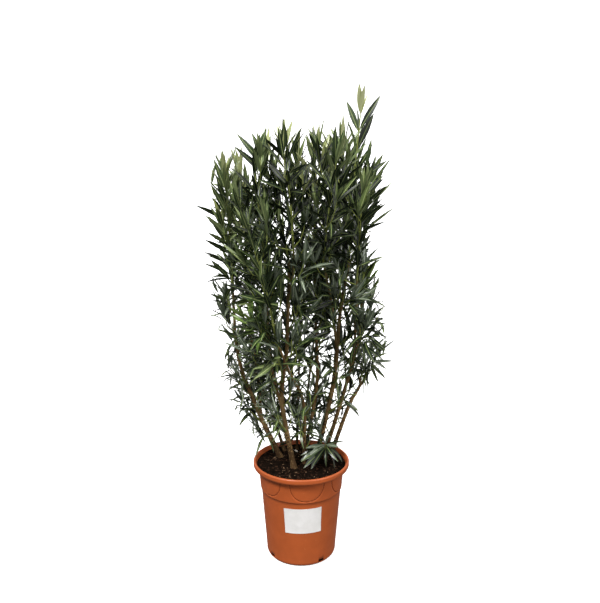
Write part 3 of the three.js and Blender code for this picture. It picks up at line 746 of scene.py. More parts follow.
@dataclass
class Compost:
    """The dark soil that fills the pot, with peat lumps and bark chips strewn over it.

    A row of crumbs says how many there are, their least and greatest length, and their width and
    height as shares of it.
    """

    pot: Pot
    top: float
    rings: int = 60
    sides: int = 160
    unevenness: float = 0.0022
    waves: tuple[Pair, ...] = ((0.09, 0.4), (0.03, 0.3), (0.012, 0.3))
    waves_each: int = 4
    crumbs: tuple[tuple[int, Pair, float], ...] = (
        (1500, (0.0025, 0.0075), 0.75),
        (420, (0.006, 0.017), 0.35),
        (60, (0.006, 0.015), 0.35),
    )
    fleck: Pair = (-0.019, 0.102)
    fleck_length: float = 0.026
    fleck_flat: float = 0.5
    wall_gap: float = 0.0006
    edge_gap: float = 0.0005
    core: float = 0.004
    margin: float = 0.009
    bedded: float = 0.22
    lean: float = 0.5
    stretch: Pair = (0.7, 1.3)
    jag: float = 0.25
    thin: float = 0.7
    seed: int = 5

    @classmethod
    def of_frame(cls, pot: Pot) -> "Compost":
        """The soil, filled to the height of its solid."""
        return cls(pot=pot, top=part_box("soil")[1].z)

    def surface_height(self, x: Array, y: Array) -> Array:
        """The height of the uneven surface at places across the pot."""
        pick = np.random.default_rng(self.seed)
        height = np.zeros_like(x)
        for size, share in self.waves:
            for _ in range(self.waves_each):
                angle, phase = pick.uniform(0, 2 * math.pi, 2)
                along = x * math.cos(angle) + y * math.sin(angle)
                height += share * np.sin(along * 2 * math.pi / size + phase) / 2
        return self.top - self.unevenness + self.unevenness * height

    def build(self) -> bpy.types.Object:
        """Make the bed of soil and strew the lumps and chips."""
        bed = Surface()
        turn = np.arange(self.sides) * 2 * math.pi / self.sides
        below = self.pot.inside(self.wall_gap)[1:]
        reach = np.linspace(below[-1, 0] - self.edge_gap, self.core, self.rings)
        radius = np.concatenate([below[:, 0], reach])
        x = radius[:, None] * np.sin(turn)
        y = -radius[:, None] * np.cos(turn)
        z = np.repeat(below[:, 1:], self.sides, axis=1)
        z = np.concatenate([z, self.surface_height(x[len(below) :], y[len(below) :])])
        corners = np.stack([x, y, z], axis=-1).reshape(-1, 3)
        bed.add(corners, ring_faces(len(radius), self.sides))
        bed.add_faces(np.arange(self.sides)[None, ::-1])
        bed.add_faces(np.arange(self.sides)[None] + len(corners) - self.sides)
        for slot, (count, sizes, flat) in enumerate(self.crumbs, 1):
            self._strew(bed, count, sizes, flat, slot)
        sizes = (self.fleck_length, self.fleck_length)
        self._strew(bed, 1, sizes, self.fleck_flat, len(self.crumbs) + 1, self.fleck)
        soil = bed.piece("compost", [COMPOST, PEAT, CHIP, PALE_CHIP, FLECK], crease=30.0)
        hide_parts("soil")
        return soil

    def _strew(
        self,
        bed: Surface,
        count: int,
        sizes: Pair,
        flat: float,
        slot: int,
        place: Pair | None = None,
    ) -> None:
        """Strew uneven crumbs over the surface.

        Args:
            bed: The mesh that takes them.
            count: How many there are.
            sizes: Their least and greatest length.
            flat: Their width and height as shares of their length.
            slot: Their finish.
            place: Where they lie, or None to strew them.
        """
        pick = np.random.default_rng(self.seed + slot)
        reach = self.pot.mouth_radius - self.margin
        radius = reach * np.sqrt(pick.uniform(0, 1, count))
        turn = pick.uniform(0, 2 * math.pi, count)
        x, y = radius * np.cos(turn), radius * np.sin(turn)
        length = pick.uniform(*sizes, count)
        if place is not None:
            x, y = np.array(place)[:, None]
        centre = np.stack([x, y, self.surface_height(x, y) + length * flat * self.bedded], axis=-1)
        shape = np.array([(-1, 0, 0), (1, 0, 0), (0, -1, 0), (0, 1, 0), (0, 0, -1), (0, 0, 1)], float)
        faces = np.array(
            [(0, 2, 5), (2, 1, 5), (1, 3, 5), (3, 0, 5), (2, 0, 4), (1, 2, 4), (3, 1, 4), (0, 3, 4)]
        )
        corner = shape[None] * pick.uniform(*self.stretch, (count, 6, 1))
        corner = corner + pick.uniform(-self.jag, self.jag, (count, 6, 3))
        corner = corner * np.stack([length, length * flat, length * flat * self.thin], axis=-1)[:, None] / 2
        spin = pick.uniform(0, 2 * math.pi, count)[:, None]
        lean = pick.uniform(-self.lean, self.lean, count)[:, None]
        cx, cy, cz = np.moveaxis(corner, -1, 0)
        cx, cz = cx * np.cos(lean) - cz * np.sin(lean), cx * np.sin(lean) + cz
        turned = np.stack(
            [cx * np.cos(spin) - cy * np.sin(spin), cx * np.sin(spin) + cy * np.cos(spin), cz], axis=-1
        )
        numbers = faces[None] + np.arange(count)[:, None, None] * 6
        bed.add((turned + centre[:, None]).reshape(-1, 3), numbers.reshape(-1, 3), slot)


@dataclass
class Label:
    """A bare sheet of paper stuck on the front of the pot, a little creased and not quite level."""

    pot: Pot
    width: float = 0.137
    height: float = 0.101
    thickness: float = 0.0004
    bottom: float = 0.146
    turn: float = 2.6
    tilt: float = -1.2
    clearance: float = 0.0007
    crease_depth: float = 0.0009
    creases: int = 9
    crease_reach: float = 0.4
    crease_strength: Pair = (0.2, 1.0)
    crease_width: Pair = (0.03, 0.12)
    corner_lift: Pair = (0.72, 0.98)
    columns: int = 48
    rows: int = 34
    seed: int = 12

    def build(self) -> bpy.types.Object:
        """Wrap the creased sheet round the wall."""
        across_sheet, up_sheet = np.meshgrid(
            np.linspace(-0.5, 0.5, self.columns + 1), np.linspace(-0.5, 0.5, self.rows + 1), indexing="ij"
        )
        lean = math.radians(self.tilt)
        middle = self.bottom + self.height / 2
        side = across_sheet * self.width
        up = up_sheet * self.height
        side, up = side * math.cos(lean) + up * math.sin(lean), up * math.cos(lean) - side * math.sin(lean)
        lift = self._creases(across_sheet, up_sheet)
        height = middle + up
        angle = side / self.pot.wall_radius(middle) + math.radians(self.turn)
        sheet = Surface()
        layers = []
        for skin in (0.0, self.thickness):
            radius = self.pot.wall_radius(height) + self.clearance + lift + skin
            layer = np.stack([radius * np.sin(angle), -radius * np.cos(angle), height], axis=-1)
            layers.append(layer.reshape(-1, 3))
        rows = self.rows + 1
        column, row = np.meshgrid(np.arange(self.columns), np.arange(self.rows), indexing="ij")
        start = (column * rows + row).ravel()
        back = np.stack([start, start + 1, start + rows + 1, start + rows], axis=-1)
        count = len(layers[0])
        sheet.add(np.vstack(layers), back)
        sheet.add_faces(back[:, ::-1] + count)
        loop = self._rim(rows)
        after = np.roll(loop, -1)
        sheet.add_faces(np.stack([loop, after, after + count, loop + count], axis=-1))
        label = sheet.piece("paper_label", [PAPER], crease=60.0)
        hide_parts("label")
        return label

    def _rim(self, rows: int) -> Array:
        """Corner numbers round the sheet's edge, in order."""
        left = np.arange(rows)
        top = np.arange(1, self.columns + 1) * rows + rows - 1
        right = self.columns * rows + np.arange(rows - 2, -1, -1)
        bottom = np.arange(self.columns - 1, 0, -1) * rows
        return np.concatenate([left, top, right, bottom])

    def _creases(self, x: Array, y: Array) -> Array:
        """How far the creased sheet stands off the wall, at shares of its width and height."""
        pick = np.random.default_rng(self.seed)
        lift = np.zeros_like(x)
        for _ in range(self.creases):
            angle = pick.uniform(0, math.pi)
            away = x * math.cos(angle) + y * math.sin(angle)
            away = away - pick.uniform(-self.crease_reach, self.crease_reach)
            strength = pick.uniform(*self.crease_strength)
            lift += strength * np.exp(-np.abs(away) / pick.uniform(*self.crease_width))
        corner = ease(*self.corner_lift, np.hypot(x, y) * math.sqrt(2))
        return self.crease_depth * (lift / 3 + corner)


# ---------- The plant's limbs and the room of each spray ----------

SOIL_LINE = 0.3603
TIP = 0.0


@dataclass(frozen=True)
class Limb:
    """A cane that rises from the soil, or a bough that forks from another limb.

    Attributes:
        name: The node that the limb replaces.
        radii: The radius at the start and at the tip.
        bends: The points it goes through; a cane's first one is its foot.
        on: The limb that a bough forks from.
        height: The height at which it forks.
    """

    name: str
    radii: Pair
    bends: tuple[Point, ...]
    on: str = ""
    height: float = 0.0


CANES = (
    Limb("cane_left_outer", (0.011, 0.0045), (
        (-0.082, 0.055, SOIL_LINE), (-0.164, 0.045, 0.552), (-0.232, 0.03, 0.769), (-0.247, 0.015, 1.04),
    )),
    Limb("cane_left_rear", (0.007, 0.004), (
        (-0.066, 0.112, SOIL_LINE), (-0.136, 0.16, 0.558), (-0.19, 0.19, 0.7), (-0.188, 0.212, 1.056),
    )),
    Limb("cane_front_thick", (0.011, 0.005), (
        (-0.028, -0.04, SOIL_LINE), (-0.07, -0.045, 0.626), (-0.051, -0.05, 0.835), (-0.043, -0.05, 1.134),
    )),
    Limb("cane_front_thin", (0.0065, 0.004), (
        (0.01, -0.006, SOIL_LINE), (0.009, -0.04, 0.605), (-0.037, -0.09, 0.736), (-0.087, -0.135, 0.877),
    )),
    Limb("cane_centre", (0.008, 0.0045), (
        (0.014, 0.091, SOIL_LINE), (0.059, 0.088, 0.636), (0.054, 0.082, 0.893), (0.053, 0.075, 1.113),
    )),
    Limb("cane_right_thick", (0.0105, 0.005), (
        (0.065, 0.091, SOIL_LINE), (0.124, 0.085, 0.657), (0.143, 0.07, 0.915), (0.173, 0.06, 1.116),
    )),
    Limb("cane_right_rear", (0.009, 0.0045), (
        (0.092, 0.084, SOIL_LINE), (0.168, 0.105, 0.614), (0.222, 0.125, 0.843), (0.228, 0.13, 1.055),
    )),
    Limb("cane_right_outer", (0.009, 0.005), (
        (0.118, 0.086, SOIL_LINE), (0.181, 0.098, 0.542), (0.218, 0.096, 0.619), (0.243, 0.092, 0.662),
    )),
    Limb("cane_rear_left", (0.0055, 0.004), (
        (-0.017, 0.119, SOIL_LINE), (-0.013, 0.145, 0.553), (-0.005, 0.165, 0.791), (-0.009, 0.18, 0.986),
    )),
    Limb("cane_rear_right", (0.0055, 0.004), (
        (0.0, 0.141, SOIL_LINE), (0.022, 0.162, 0.547), (0.049, 0.18, 0.786), (0.083, 0.195, 1.002),
    )),
    Limb("cane_foot_shoot", (0.0045, 0.0035), (
        (0.083, 0.033, SOIL_LINE), (0.085, 0.02, 0.378), (0.088, 0.008, 0.396), (0.09, -0.002, 0.412),
    )),
)

BOUGHS = (
    Limb("bough_left_inner", (0.0065, 0.004), (
        (-0.165, 0.08, 0.68), (-0.188, 0.095, 0.9), (-0.2, 0.102, 1.106),
    ), "cane_left_outer", 0.52),
    Limb("bough_front_left", (0.007, 0.004), (
        (-0.1, -0.062, 0.715), (-0.116, -0.088, 0.88), (-0.12, -0.11, 1.099),
    ), "cane_front_thick", 0.59),
    Limb("bough_front_middle", (0.005, 0.004), (
        (-0.033, -0.072, 1.07), (-0.026, -0.1, 1.15), (-0.028, -0.13, 1.222),
    ), "cane_front_thick", 0.985),
    Limb("bough_front_right", (0.006, 0.004), (
        (0.122, 0.03, 0.88), (0.104, -0.03, 1.0), (0.074, -0.095, 1.142),
    ), "cane_right_thick", 0.77),
    Limb("bough_right_front", (0.006, 0.004), (
        (0.196, 0.07, 0.77), (0.198, 0.01, 0.92), (0.194, -0.05, 1.07),
    ), "cane_right_rear", 0.65),
)


@dataclass(frozen=True)
class Growth:
    """How shoots of one kind carry their leaves.

    Attributes:
        tints: The tints of the old, the middle and the young leaves.
        leaf: The length of a full leaf.
        slim: A leaf's width as a share of its length.
        step: The distance between whorls.
        bend: The least and the greatest bend of a leaf, in degrees.
        tip_size: The size of the youngest leaves as a share of a full one.
        sag: How far a leaf bends straight down and not away from its stem, from 0 to 1.
        first: The share of the stem below its lowest whorl.
        last: The share of the stem below its highest whorl.
        fan: The share of a full circle that the leaves fill, about the front left where it is less than 1.
        side_step: The distance between side twigs; 0 where there are none.
    """

    tints: tuple[Tint, Tint, Tint]
    leaf: float
    slim: float
    step: float
    bend: Pair
    tip_size: float
    sag: float = 0.3
    first: float = 0.04
    last: float = 0.985
    fan: float = 1.0
    side_step: float = 0.055


class Habit(Enum):
    """The kinds of shoot on this shrub. LIT and HALF_LIT are paler copies of the crown's shoots and LIT_INNER
    a paler copy of INNER, as painted light on the lit left and front of the crown; INNER's darker tints are
    painted shade inside it.
    """

    CROWN = Growth((Tint.DARK, Tint.DEEP, Tint.OLIVE), 0.126, 0.146, 0.036, (0, 22), 0.94, side_step=0.066)
    PALE_TIP = Growth((Tint.DARK, Tint.DEEP, Tint.LIME), 0.124, 0.146, 0.036, (0, 18), 0.94, side_step=0.066)
    LIT = Growth((Tint.MID, Tint.OLIVE, Tint.LIME), 0.124, 0.146, 0.036, (0, 18), 0.94, side_step=0.066)
    HALF_LIT = Growth((Tint.DEEP, Tint.MID, Tint.OLIVE), 0.124, 0.146, 0.036, (0, 20), 0.94, side_step=0.066)
    TALL = Growth(
        (Tint.DEEP, Tint.DEEP, Tint.MID), 0.134, 0.155, 0.05, (2, 20), 0.95, last=0.6, side_step=0.08
    )
    INNER = Growth((Tint.DARK, Tint.DEEP, Tint.GREY), 0.118, 0.14, 0.029, (12, 55), 0.85, 0.6, 0.3)
    LIT_INNER = Growth((Tint.MID, Tint.OLIVE, Tint.GREY), 0.118, 0.14, 0.03, (12, 55), 0.85, 0.6, 0.3)
    DROOPING = Growth((Tint.DARK, Tint.MID, Tint.GREY), 0.106, 0.12, 0.024, (30, 85), 0.85, 0.8, 0.25)
    YOUNG = Growth((Tint.MID, Tint.FRESH, Tint.FRESH), 0.1, 0.15, 0.024, (5, 30), 0.9, 0.4, 0.25)
    FOOT = Growth(
        (Tint.DARK, Tint.DEEP, Tint.GREY), 0.1, 0.18, 0.016, (20, 110), 0.9, 0.9, 0.1, 0.98,
        fan=0.6, side_step=0.0,
    )


@dataclass(frozen=True)
class Spray:
    """A mass of leaves that grows on from a limb.

    Attributes:
        name: The node that it replaces.
        on: The limb that carries it.
        height: The height at which it leaves the side of the limb, or TIP.
        spread: Degrees between stem and leaf, at the foot and at the tip of the stem.
        habit: How it carries its leaves.
        bends: The points that its stem goes through after the limb.
    """

    name: str
    on: str
    height: float
    spread: Pair
    habit: Habit
    bends: tuple[Point, Point]


SPRAYS = (
    Spray("leaves_left_outer", "cane_left_outer", TIP, (48, 25), Habit.LIT,
          ((-0.256, 0.022, 1.24), (-0.266, 0.03, 1.41))),
    Spray("leaves_left_inner", "bough_left_inner", TIP, (58, 26), Habit.LIT,
          ((-0.21, 0.12, 1.27), (-0.222, 0.132, 1.42))),
    Spray("leaves_left_rear", "cane_left_rear", TIP, (56, 26), Habit.CROWN,
          ((-0.198, 0.226, 1.21), (-0.208, 0.236, 1.36))),
    Spray("leaves_front_left", "bough_front_left", TIP, (60, 26), Habit.CROWN,
          ((-0.138, -0.125, 1.29), (-0.153, -0.136, 1.47))),
    Spray("leaves_middle_left", "cane_front_thick", TIP, (62, 26), Habit.CROWN,
          ((-0.078, -0.042, 1.31), (-0.122, -0.034, 1.476))),
    Spray("leaves_front_middle", "bough_front_middle", TIP, (62, 26), Habit.PALE_TIP,
          ((-0.038, -0.155, 1.37), (-0.058, -0.175, 1.512))),
    Spray("leaves_rear_middle", "cane_rear_left", TIP, (60, 26), Habit.CROWN,
          ((-0.02, 0.195, 1.23), (-0.014, 0.21, 1.462))),
    Spray("leaves_centre", "cane_centre", TIP, (62, 26), Habit.PALE_TIP,
          ((0.046, 0.08, 1.31), (0.05, 0.092, 1.484))),
    Spray("leaves_front_right", "bough_front_right", TIP, (62, 26), Habit.CROWN,
          ((0.09, -0.135, 1.31), (0.112, -0.17, 1.48))),
    Spray("leaves_tall_shoot", "cane_right_thick", TIP, (58, 24), Habit.TALL,
          ((0.183, 0.052, 1.37), (0.206, 0.06, 1.638))),
    Spray("leaves_rear_right", "cane_rear_right", TIP, (58, 26), Habit.CROWN,
          ((0.128, 0.218, 1.26), (0.162, 0.23, 1.508))),
    Spray("leaves_right_rear", "cane_right_rear", TIP, (44, 24), Habit.CROWN,
          ((0.236, 0.142, 1.24), (0.244, 0.15, 1.398))),
    Spray("leaves_right_outer", "cane_right_outer", TIP, (60, 30), Habit.DROOPING,
          ((0.257, 0.088, 0.712), (0.264, 0.084, 0.762))),
    Spray("leaves_low_front", "cane_front_thin", TIP, (64, 26), Habit.HALF_LIT,
          ((-0.118, -0.168, 1.06), (-0.172, -0.2, 1.265))),
    Spray("leaves_right_front", "bough_right_front", TIP, (52, 26), Habit.CROWN,
          ((0.198, -0.088, 1.235), (0.202, -0.112, 1.376))),
    Spray("leaves_foot_shoot", "cane_foot_shoot", TIP, (112, 48), Habit.FOOT,
          ((0.091, -0.01, 0.426), (0.092, -0.016, 0.44))),
    Spray("side_low_left", "cane_left_outer", 0.49, (66, 36), Habit.DROOPING,
          ((-0.192, 0.044, 0.548), (-0.216, 0.036, 0.584))),
    Spray("side_left", "cane_left_outer", 0.64, (70, 44), Habit.DROOPING,
          ((-0.212, 0.01, 0.682), (-0.224, -0.005, 0.716))),
    Spray("side_left_drooping", "cane_left_outer", 0.79, (106, 84), Habit.DROOPING,
          ((-0.244, 0.026, 0.806), (-0.25, 0.024, 0.822))),
    Spray("side_left_high", "cane_left_outer", 0.915, (58, 34), Habit.LIT_INNER,
          ((-0.256, 0.004, 0.95), (-0.264, -0.012, 0.996))),
    Spray("side_left_inner", "bough_left_inner", 0.76, (70, 40), Habit.LIT_INNER,
          ((-0.16, 0.058, 0.812), (-0.146, 0.036, 0.872))),
    Spray("side_front", "cane_front_thick", 0.69, (72, 42), Habit.LIT_INNER,
          ((-0.07, -0.09, 0.75), (-0.082, -0.132, 0.812))),
    Spray("side_front_high", "cane_front_thick", 0.88, (70, 34), Habit.INNER,
          ((-0.02, -0.1, 0.95), (0.004, -0.146, 1.022))),
    Spray("side_front_low", "cane_front_thin", 0.56, (74, 44), Habit.DROOPING,
          ((0.034, -0.07, 0.61), (0.052, -0.1, 0.664))),
    Spray("side_front_left", "bough_front_left", 0.84, (66, 38), Habit.YOUNG,
          ((-0.138, -0.116, 0.89), (-0.162, -0.142, 0.94))),
    Spray("side_low_front", "cane_front_thick", 0.5, (72, 46), Habit.DROOPING,
          ((-0.074, -0.082, 0.548), (-0.088, -0.114, 0.596))),
    Spray("side_centre", "cane_centre", 0.66, (72, 36), Habit.INNER,
          ((0.024, 0.05, 0.73), (0.006, 0.02, 0.8))),
    Spray("side_centre_high", "cane_centre", 0.85, (70, 38), Habit.INNER,
          ((0.076, 0.044, 0.91), (0.094, 0.01, 0.968))),
    Spray("side_middle_right", "cane_right_thick", 0.64, (74, 42), Habit.DROOPING,
          ((0.132, 0.02, 0.69), (0.136, -0.03, 0.752))),
    Spray("side_right_inner", "cane_right_thick", 0.86, (70, 38), Habit.INNER,
          ((0.122, 0.104, 0.918), (0.104, 0.136, 0.978))),
    Spray("side_front_right", "bough_front_right", 0.915, (66, 36), Habit.INNER,
          ((0.134, -0.036, 0.965), (0.15, -0.076, 1.025))),
    Spray("side_right_front", "bough_right_front", 0.8, (66, 38), Habit.INNER,
          ((0.214, -0.02, 0.85), (0.226, -0.056, 0.91))),
    Spray("side_right", "cane_right_rear", 0.82, (54, 36), Habit.DROOPING,
          ((0.238, 0.128, 0.858), (0.25, 0.132, 0.884))),
    Spray("side_right_high", "cane_right_rear", 0.915, (50, 28), Habit.YOUNG,
          ((0.24, 0.118, 0.975), (0.248, 0.108, 1.044))),
    Spray("side_right_rear", "cane_right_rear", 0.63, (72, 42), Habit.DROOPING,
          ((0.17, 0.155, 0.69), (0.164, 0.196, 0.758))),
    Spray("side_low_right", "cane_right_thick", 0.52, (72, 46), Habit.DROOPING,
          ((0.14, 0.05, 0.57), (0.16, 0.024, 0.616))),
    Spray("side_rear_left", "cane_left_rear", 0.62, (70, 42), Habit.DROOPING,
          ((-0.19, 0.226, 0.69), (-0.2, 0.25, 0.758))),
    Spray("side_rear_left_high", "cane_left_rear", 0.86, (68, 36), Habit.INNER,
          ((-0.164, 0.246, 0.93), (-0.142, 0.268, 1.01))),
    Spray("side_rear", "cane_rear_left", 0.62, (72, 38), Habit.DROOPING,
          ((-0.05, 0.19, 0.69), (-0.072, 0.222, 0.764))),
    Spray("side_rear_right", "cane_rear_right", 0.66, (72, 38), Habit.DROOPING,
          ((0.062, 0.218, 0.72), (0.08, 0.25, 0.79))),
    Spray("side_rear_high", "cane_rear_right", 0.87, (70, 36), Habit.INNER,
          ((0.044, 0.238, 0.935), (0.03, 0.268, 1.01))),
)


@dataclass(frozen=True)
class LoneLeaf:
    """One leaf that stands out, aimed at its own tip.

    Attributes:
        height: The height of its root.
        tip: The place of its tip.
        width: Its width.
        bend: How far it bends down, in degrees.
        tint: Its tint.
        roll: How far its blade is turned round its own line, in degrees.
    """

    height: float
    tip: Point
    width: float
    bend: float
    tint: Tint
    roll: float = 62.0


# The leaves that stand out, by the spray that carries them: the fields of LoneLeaf, row by row.
LONE_LEAVES = {
    "leaves_left_outer": (
        (1.262, (-0.377, 0.012, 1.318), 0.02, 22, Tint.DEEP, 52),
        (1.15, (-0.342, -0.01, 1.205), 0.02, 10, Tint.DEEP, 48),
        (1.372, (-0.309, 0.02, 1.484), 0.019, 6, Tint.MID, 75),
        (1.385, (-0.277, 0.01, 1.51), 0.019, 4, Tint.OLIVE, 30),
        (1.38, (-0.246, 0.016, 1.492), 0.018, 5, Tint.OLIVE, 70),
        (1.115, (-0.352, 0.01, 1.158), 0.017, 14, Tint.DEEP, 50),
        (1.075, (-0.35, 0.0, 1.118), 0.017, 14, Tint.MID, 50),
        (1.062, (-0.346, 0.02, 1.043), 0.015, 30, Tint.DEEP, 40),
        (1.18, (-0.33, -0.03, 1.232), 0.017, 10, Tint.OLIVE, 50),
        (1.29, (-0.318, -0.01, 1.396), 0.019, 8, Tint.MID, 60),
        (1.33, (-0.25, -0.034, 1.436), 0.019, 6, Tint.OLIVE, 40),
        (1.3, (-0.292, -0.03, 1.42), 0.019, 6, Tint.OLIVE, 60),
    ),
    "side_left_drooping": (
        (0.812, (-0.346, 0.0, 0.737), 0.01, 25, Tint.MID, 20),
        (0.806, (-0.296, -0.02, 0.739), 0.017, 35, Tint.DARK, 50),
    ),
    "side_left_high": (
        (0.975, (-0.32, -0.03, 0.991), 0.014, 15, Tint.DEEP, 50),
        (0.965, (-0.315, -0.02, 0.948), 0.014, 15, Tint.DEEP, 40),
        (0.99, (-0.32, 0.03, 1.052), 0.015, 10, Tint.MID, 50),
        (0.98, (-0.328, -0.04, 1.018), 0.015, 14, Tint.OLIVE, 50),
    ),
    "leaves_right_outer": (
        (0.735, (0.364, 0.07, 0.827), 0.01, 10, Tint.DEEP, 30),
        (0.728, (0.345, 0.05, 0.732), 0.013, 22, Tint.GREY, 55),
        (0.742, (0.326, 0.06, 0.818), 0.013, 10, Tint.MID, 55),
        (0.722, (0.226, 0.06, 0.59), 0.013, 50, Tint.DARK, 30),
        (0.735, (0.276, 0.05, 0.652), 0.014, 20, Tint.MID, 60),
        (0.728, (0.306, 0.04, 0.668), 0.013, 24, Tint.DEEP, 50),
        (0.745, (0.318, 0.06, 0.7), 0.013, 18, Tint.GREY, 50),
        (0.72, (0.236, 0.03, 0.64), 0.013, 24, Tint.DARK, 40),
    ),
    "side_right": (
        (0.872, (0.328, 0.12, 0.86), 0.012, 20, Tint.DEEP, 40),
        (0.866, (0.322, 0.12, 0.938), 0.012, 14, Tint.MID, 40),
    ),
    "leaves_left_inner": (
        (1.395, (-0.216, 0.116, 1.528), 0.019, 4, Tint.LIME, 30),
        (1.385, (-0.24, 0.11, 1.512), 0.018, 5, Tint.OLIVE, 70),
    ),
    "leaves_middle_left": (
        (1.452, (-0.17, -0.046, 1.57), 0.023, 5, Tint.MID, -74),
        (1.446, (-0.218, -0.07, 1.566), 0.024, 5, Tint.MID, -74),
        (1.42, (-0.232, -0.05, 1.522), 0.022, 8, Tint.DEEP, -72),
        (1.46, (-0.121, -0.052, 1.566), 0.02, 4, Tint.DEEP, 20),
        (1.456, (-0.108, -0.03, 1.59), 0.017, 3, Tint.PALE, 35),
    ),
    "leaves_front_left": ((1.462, (-0.107, -0.14, 1.582), 0.021, 6, Tint.MID, 74),),
    "leaves_front_middle": ((1.5, (-0.056, -0.196, 1.602), 0.02, 4, Tint.DEEP, 20),),
    "side_left": (
        (0.7, (-0.326, -0.01, 0.69), 0.014, 35, Tint.DEEP, 40),
        (0.712, (-0.304, -0.02, 0.667), 0.014, 45, Tint.MID, 40),
    ),
    "side_low_left": (
        (0.575, (-0.298, 0.0, 0.613), 0.013, 30, Tint.DEEP, 40),
        (0.568, (-0.281, 0.0, 0.573), 0.013, 40, Tint.GREY, 40),
        (0.53, (-0.166, 0.01, 0.424), 0.013, 70, Tint.DARK, 30),
        (0.545, (-0.232, 0.03, 0.476), 0.013, 80, Tint.DEEP, 30),
        (0.52, (-0.196, 0.0, 0.452), 0.012, 76, Tint.GREY, 40),
        (0.56, (-0.262, 0.02, 0.545), 0.012, 60, Tint.DEEP, 40),
    ),
    "leaves_right_rear": (
        (1.08, (0.276, 0.06, 1.166), 0.018, 14, Tint.FRESH, 60),
        (1.07, (0.254, 0.04, 1.15), 0.017, 16, Tint.FRESH, 50),
        (1.062, (0.292, 0.07, 1.12), 0.015, 20, Tint.FRESH, 50),
        (1.385, (0.3, 0.14, 1.5), 0.019, 4, Tint.OLIVE, 72),
        (1.36, (0.328, 0.13, 1.483), 0.014, 6, Tint.MID, 60),
        (1.3, (0.342, 0.13, 1.402), 0.012, 8, Tint.MID, 50),
        (1.22, (0.35, 0.14, 1.304), 0.012, 10, Tint.MID, 50),
        (1.375, (0.268, 0.12, 1.496), 0.019, 4, Tint.DEEP, 70),
    ),
    "leaves_right_front": ((1.12, (0.296, -0.05, 1.146), 0.012, 20, Tint.MID, 50),),
    "leaves_rear_right": (
        (1.49, (0.136, 0.2, 1.622), 0.02, 4, Tint.OLIVE, 74),
        (1.495, (0.176, 0.19, 1.636), 0.02, 4, Tint.DEEP, 74),
        (1.49, (0.15, 0.18, 1.64), 0.018, 3, Tint.PALE, 30),
    ),
    "side_low_right": (
        (0.59, (0.214, 0.02, 0.512), 0.013, 60, Tint.DARK, 30),
        (0.6, (0.196, -0.03, 0.56), 0.013, 50, Tint.DEEP, 40),
    ),
    "leaves_foot_shoot": (
        (0.416, (0.004, -0.046, 0.392), 0.021, 44, Tint.DEEP, -35),
        (0.428, (0.01, -0.072, 0.384), 0.023, 40, Tint.MID, -30),
        (0.42, (0.022, -0.09, 0.37), 0.022, 34, Tint.DEEP, -30),
        (0.434, (0.032, -0.06, 0.398), 0.021, 56, Tint.GREY, -20),
        (0.424, (0.044, -0.104, 0.378), 0.02, 40, Tint.DARK, -15),
        (0.436, (0.108, -0.086, 0.39), 0.017, 60, Tint.DEEP, 40),
        (0.432, (0.022, -0.04, 0.424), 0.02, 40, Tint.GREY, -35),
        (0.433, (0.022, -0.02, 0.452), 0.014, 40, Tint.DEEP, 30),
        (0.436, (0.052, -0.03, 0.506), 0.013, 12, Tint.GREY, 40),
        (0.436, (0.118, -0.02, 0.516), 0.013, 16, Tint.DEEP, 30),
    ),
    "leaves_tall_shoot": (
        (1.578, (0.286, 0.046, 1.694), 0.022, 14, Tint.DEEP, 78),
        (1.572, (0.152, 0.046, 1.677), 0.024, 6, Tint.MID, -78),
        (1.566, (0.206, 0.15, 1.66), 0.02, 8, Tint.MID),
        (1.512, (0.256, 0.04, 1.636), 0.025, 8, Tint.DARK, 78),
        (1.508, (0.158, 0.01, 1.612), 0.023, 8, Tint.MID, -74),
        (1.5, (0.236, 0.14, 1.61), 0.02, 8, Tint.DEEP),
        (1.63, (0.195, 0.024, 1.736), 0.02, 3, Tint.PALE, 25),
        (1.634, (0.214, 0.022, 1.73), 0.02, 3, Tint.PALE, 20),
        (1.628, (0.23, 0.05, 1.706), 0.018, 5, Tint.PALE, 40),
        (1.626, (0.204, 0.084, 1.7), 0.014, 5, Tint.LIME),
        (1.44, (0.224, 0.02, 1.556), 0.022, 6, Tint.DEEP, 70),
        (1.42, (0.246, 0.014, 1.53), 0.021, 8, Tint.MID, 72),
    ),
    "leaves_front_right": (
        (1.462, (0.104, -0.19, 1.59), 0.021, 4, Tint.DEEP, 30),
        (1.458, (0.14, -0.18, 1.586), 0.02, 5, Tint.MID, 74),
    ),
    "leaves_centre": (
        (1.462, (0.012, 0.06, 1.566), 0.02, 5, Tint.OLIVE, 74),
        (1.466, (0.04, 0.07, 1.6), 0.019, 4, Tint.PALE, 30),
    ),
    "leaves_rear_middle": (
        (1.444, (-0.006, 0.18, 1.586), 0.019, 4, Tint.LIME, 30),
        (1.44, (0.018, 0.184, 1.566), 0.018, 5, Tint.OLIVE, 72),
    ),
}

# Height, then how far the crown reaches to the left and to the right.
REACH = (
    (0.36, -0.19, 0.16), (0.47, -0.214, 0.18), (0.55, -0.24, 0.212),
    (0.63, -0.274, 0.242), (0.71, -0.296, 0.306), (0.79, -0.288, 0.336),
    (0.86, -0.3, 0.318), (0.94, -0.34, 0.32), (1.09, -0.316, 0.29),
    (1.16, -0.335, 0.262), (1.24, -0.31, 0.25), (1.31, -0.35, 0.292),
    (1.44, -0.33, 0.318), (1.49, -0.316, 0.3), (1.53, -0.28, 0.25),
    (1.57, -0.2, 0.236), (1.75, -0.2, 0.3),
)

# Open clefts between the tips of the crown: where each stands, its half width and the height of its foot.
CLEFTS = ((-0.184, 0.012, 1.42),)

# The open lanes before some canes: the lowest and the highest level of each.
OPEN_LANES = {
    "cane_left_outer": (0.43, 0.8),
    "cane_front_thick": (0.43, 1.08),
    "cane_centre": (0.52, 0.72),
    "cane_right_thick": (0.46, 1.06),
    "cane_right_rear": (0.44, 0.7),
    "cane_right_outer": (0.44, 0.6),
}


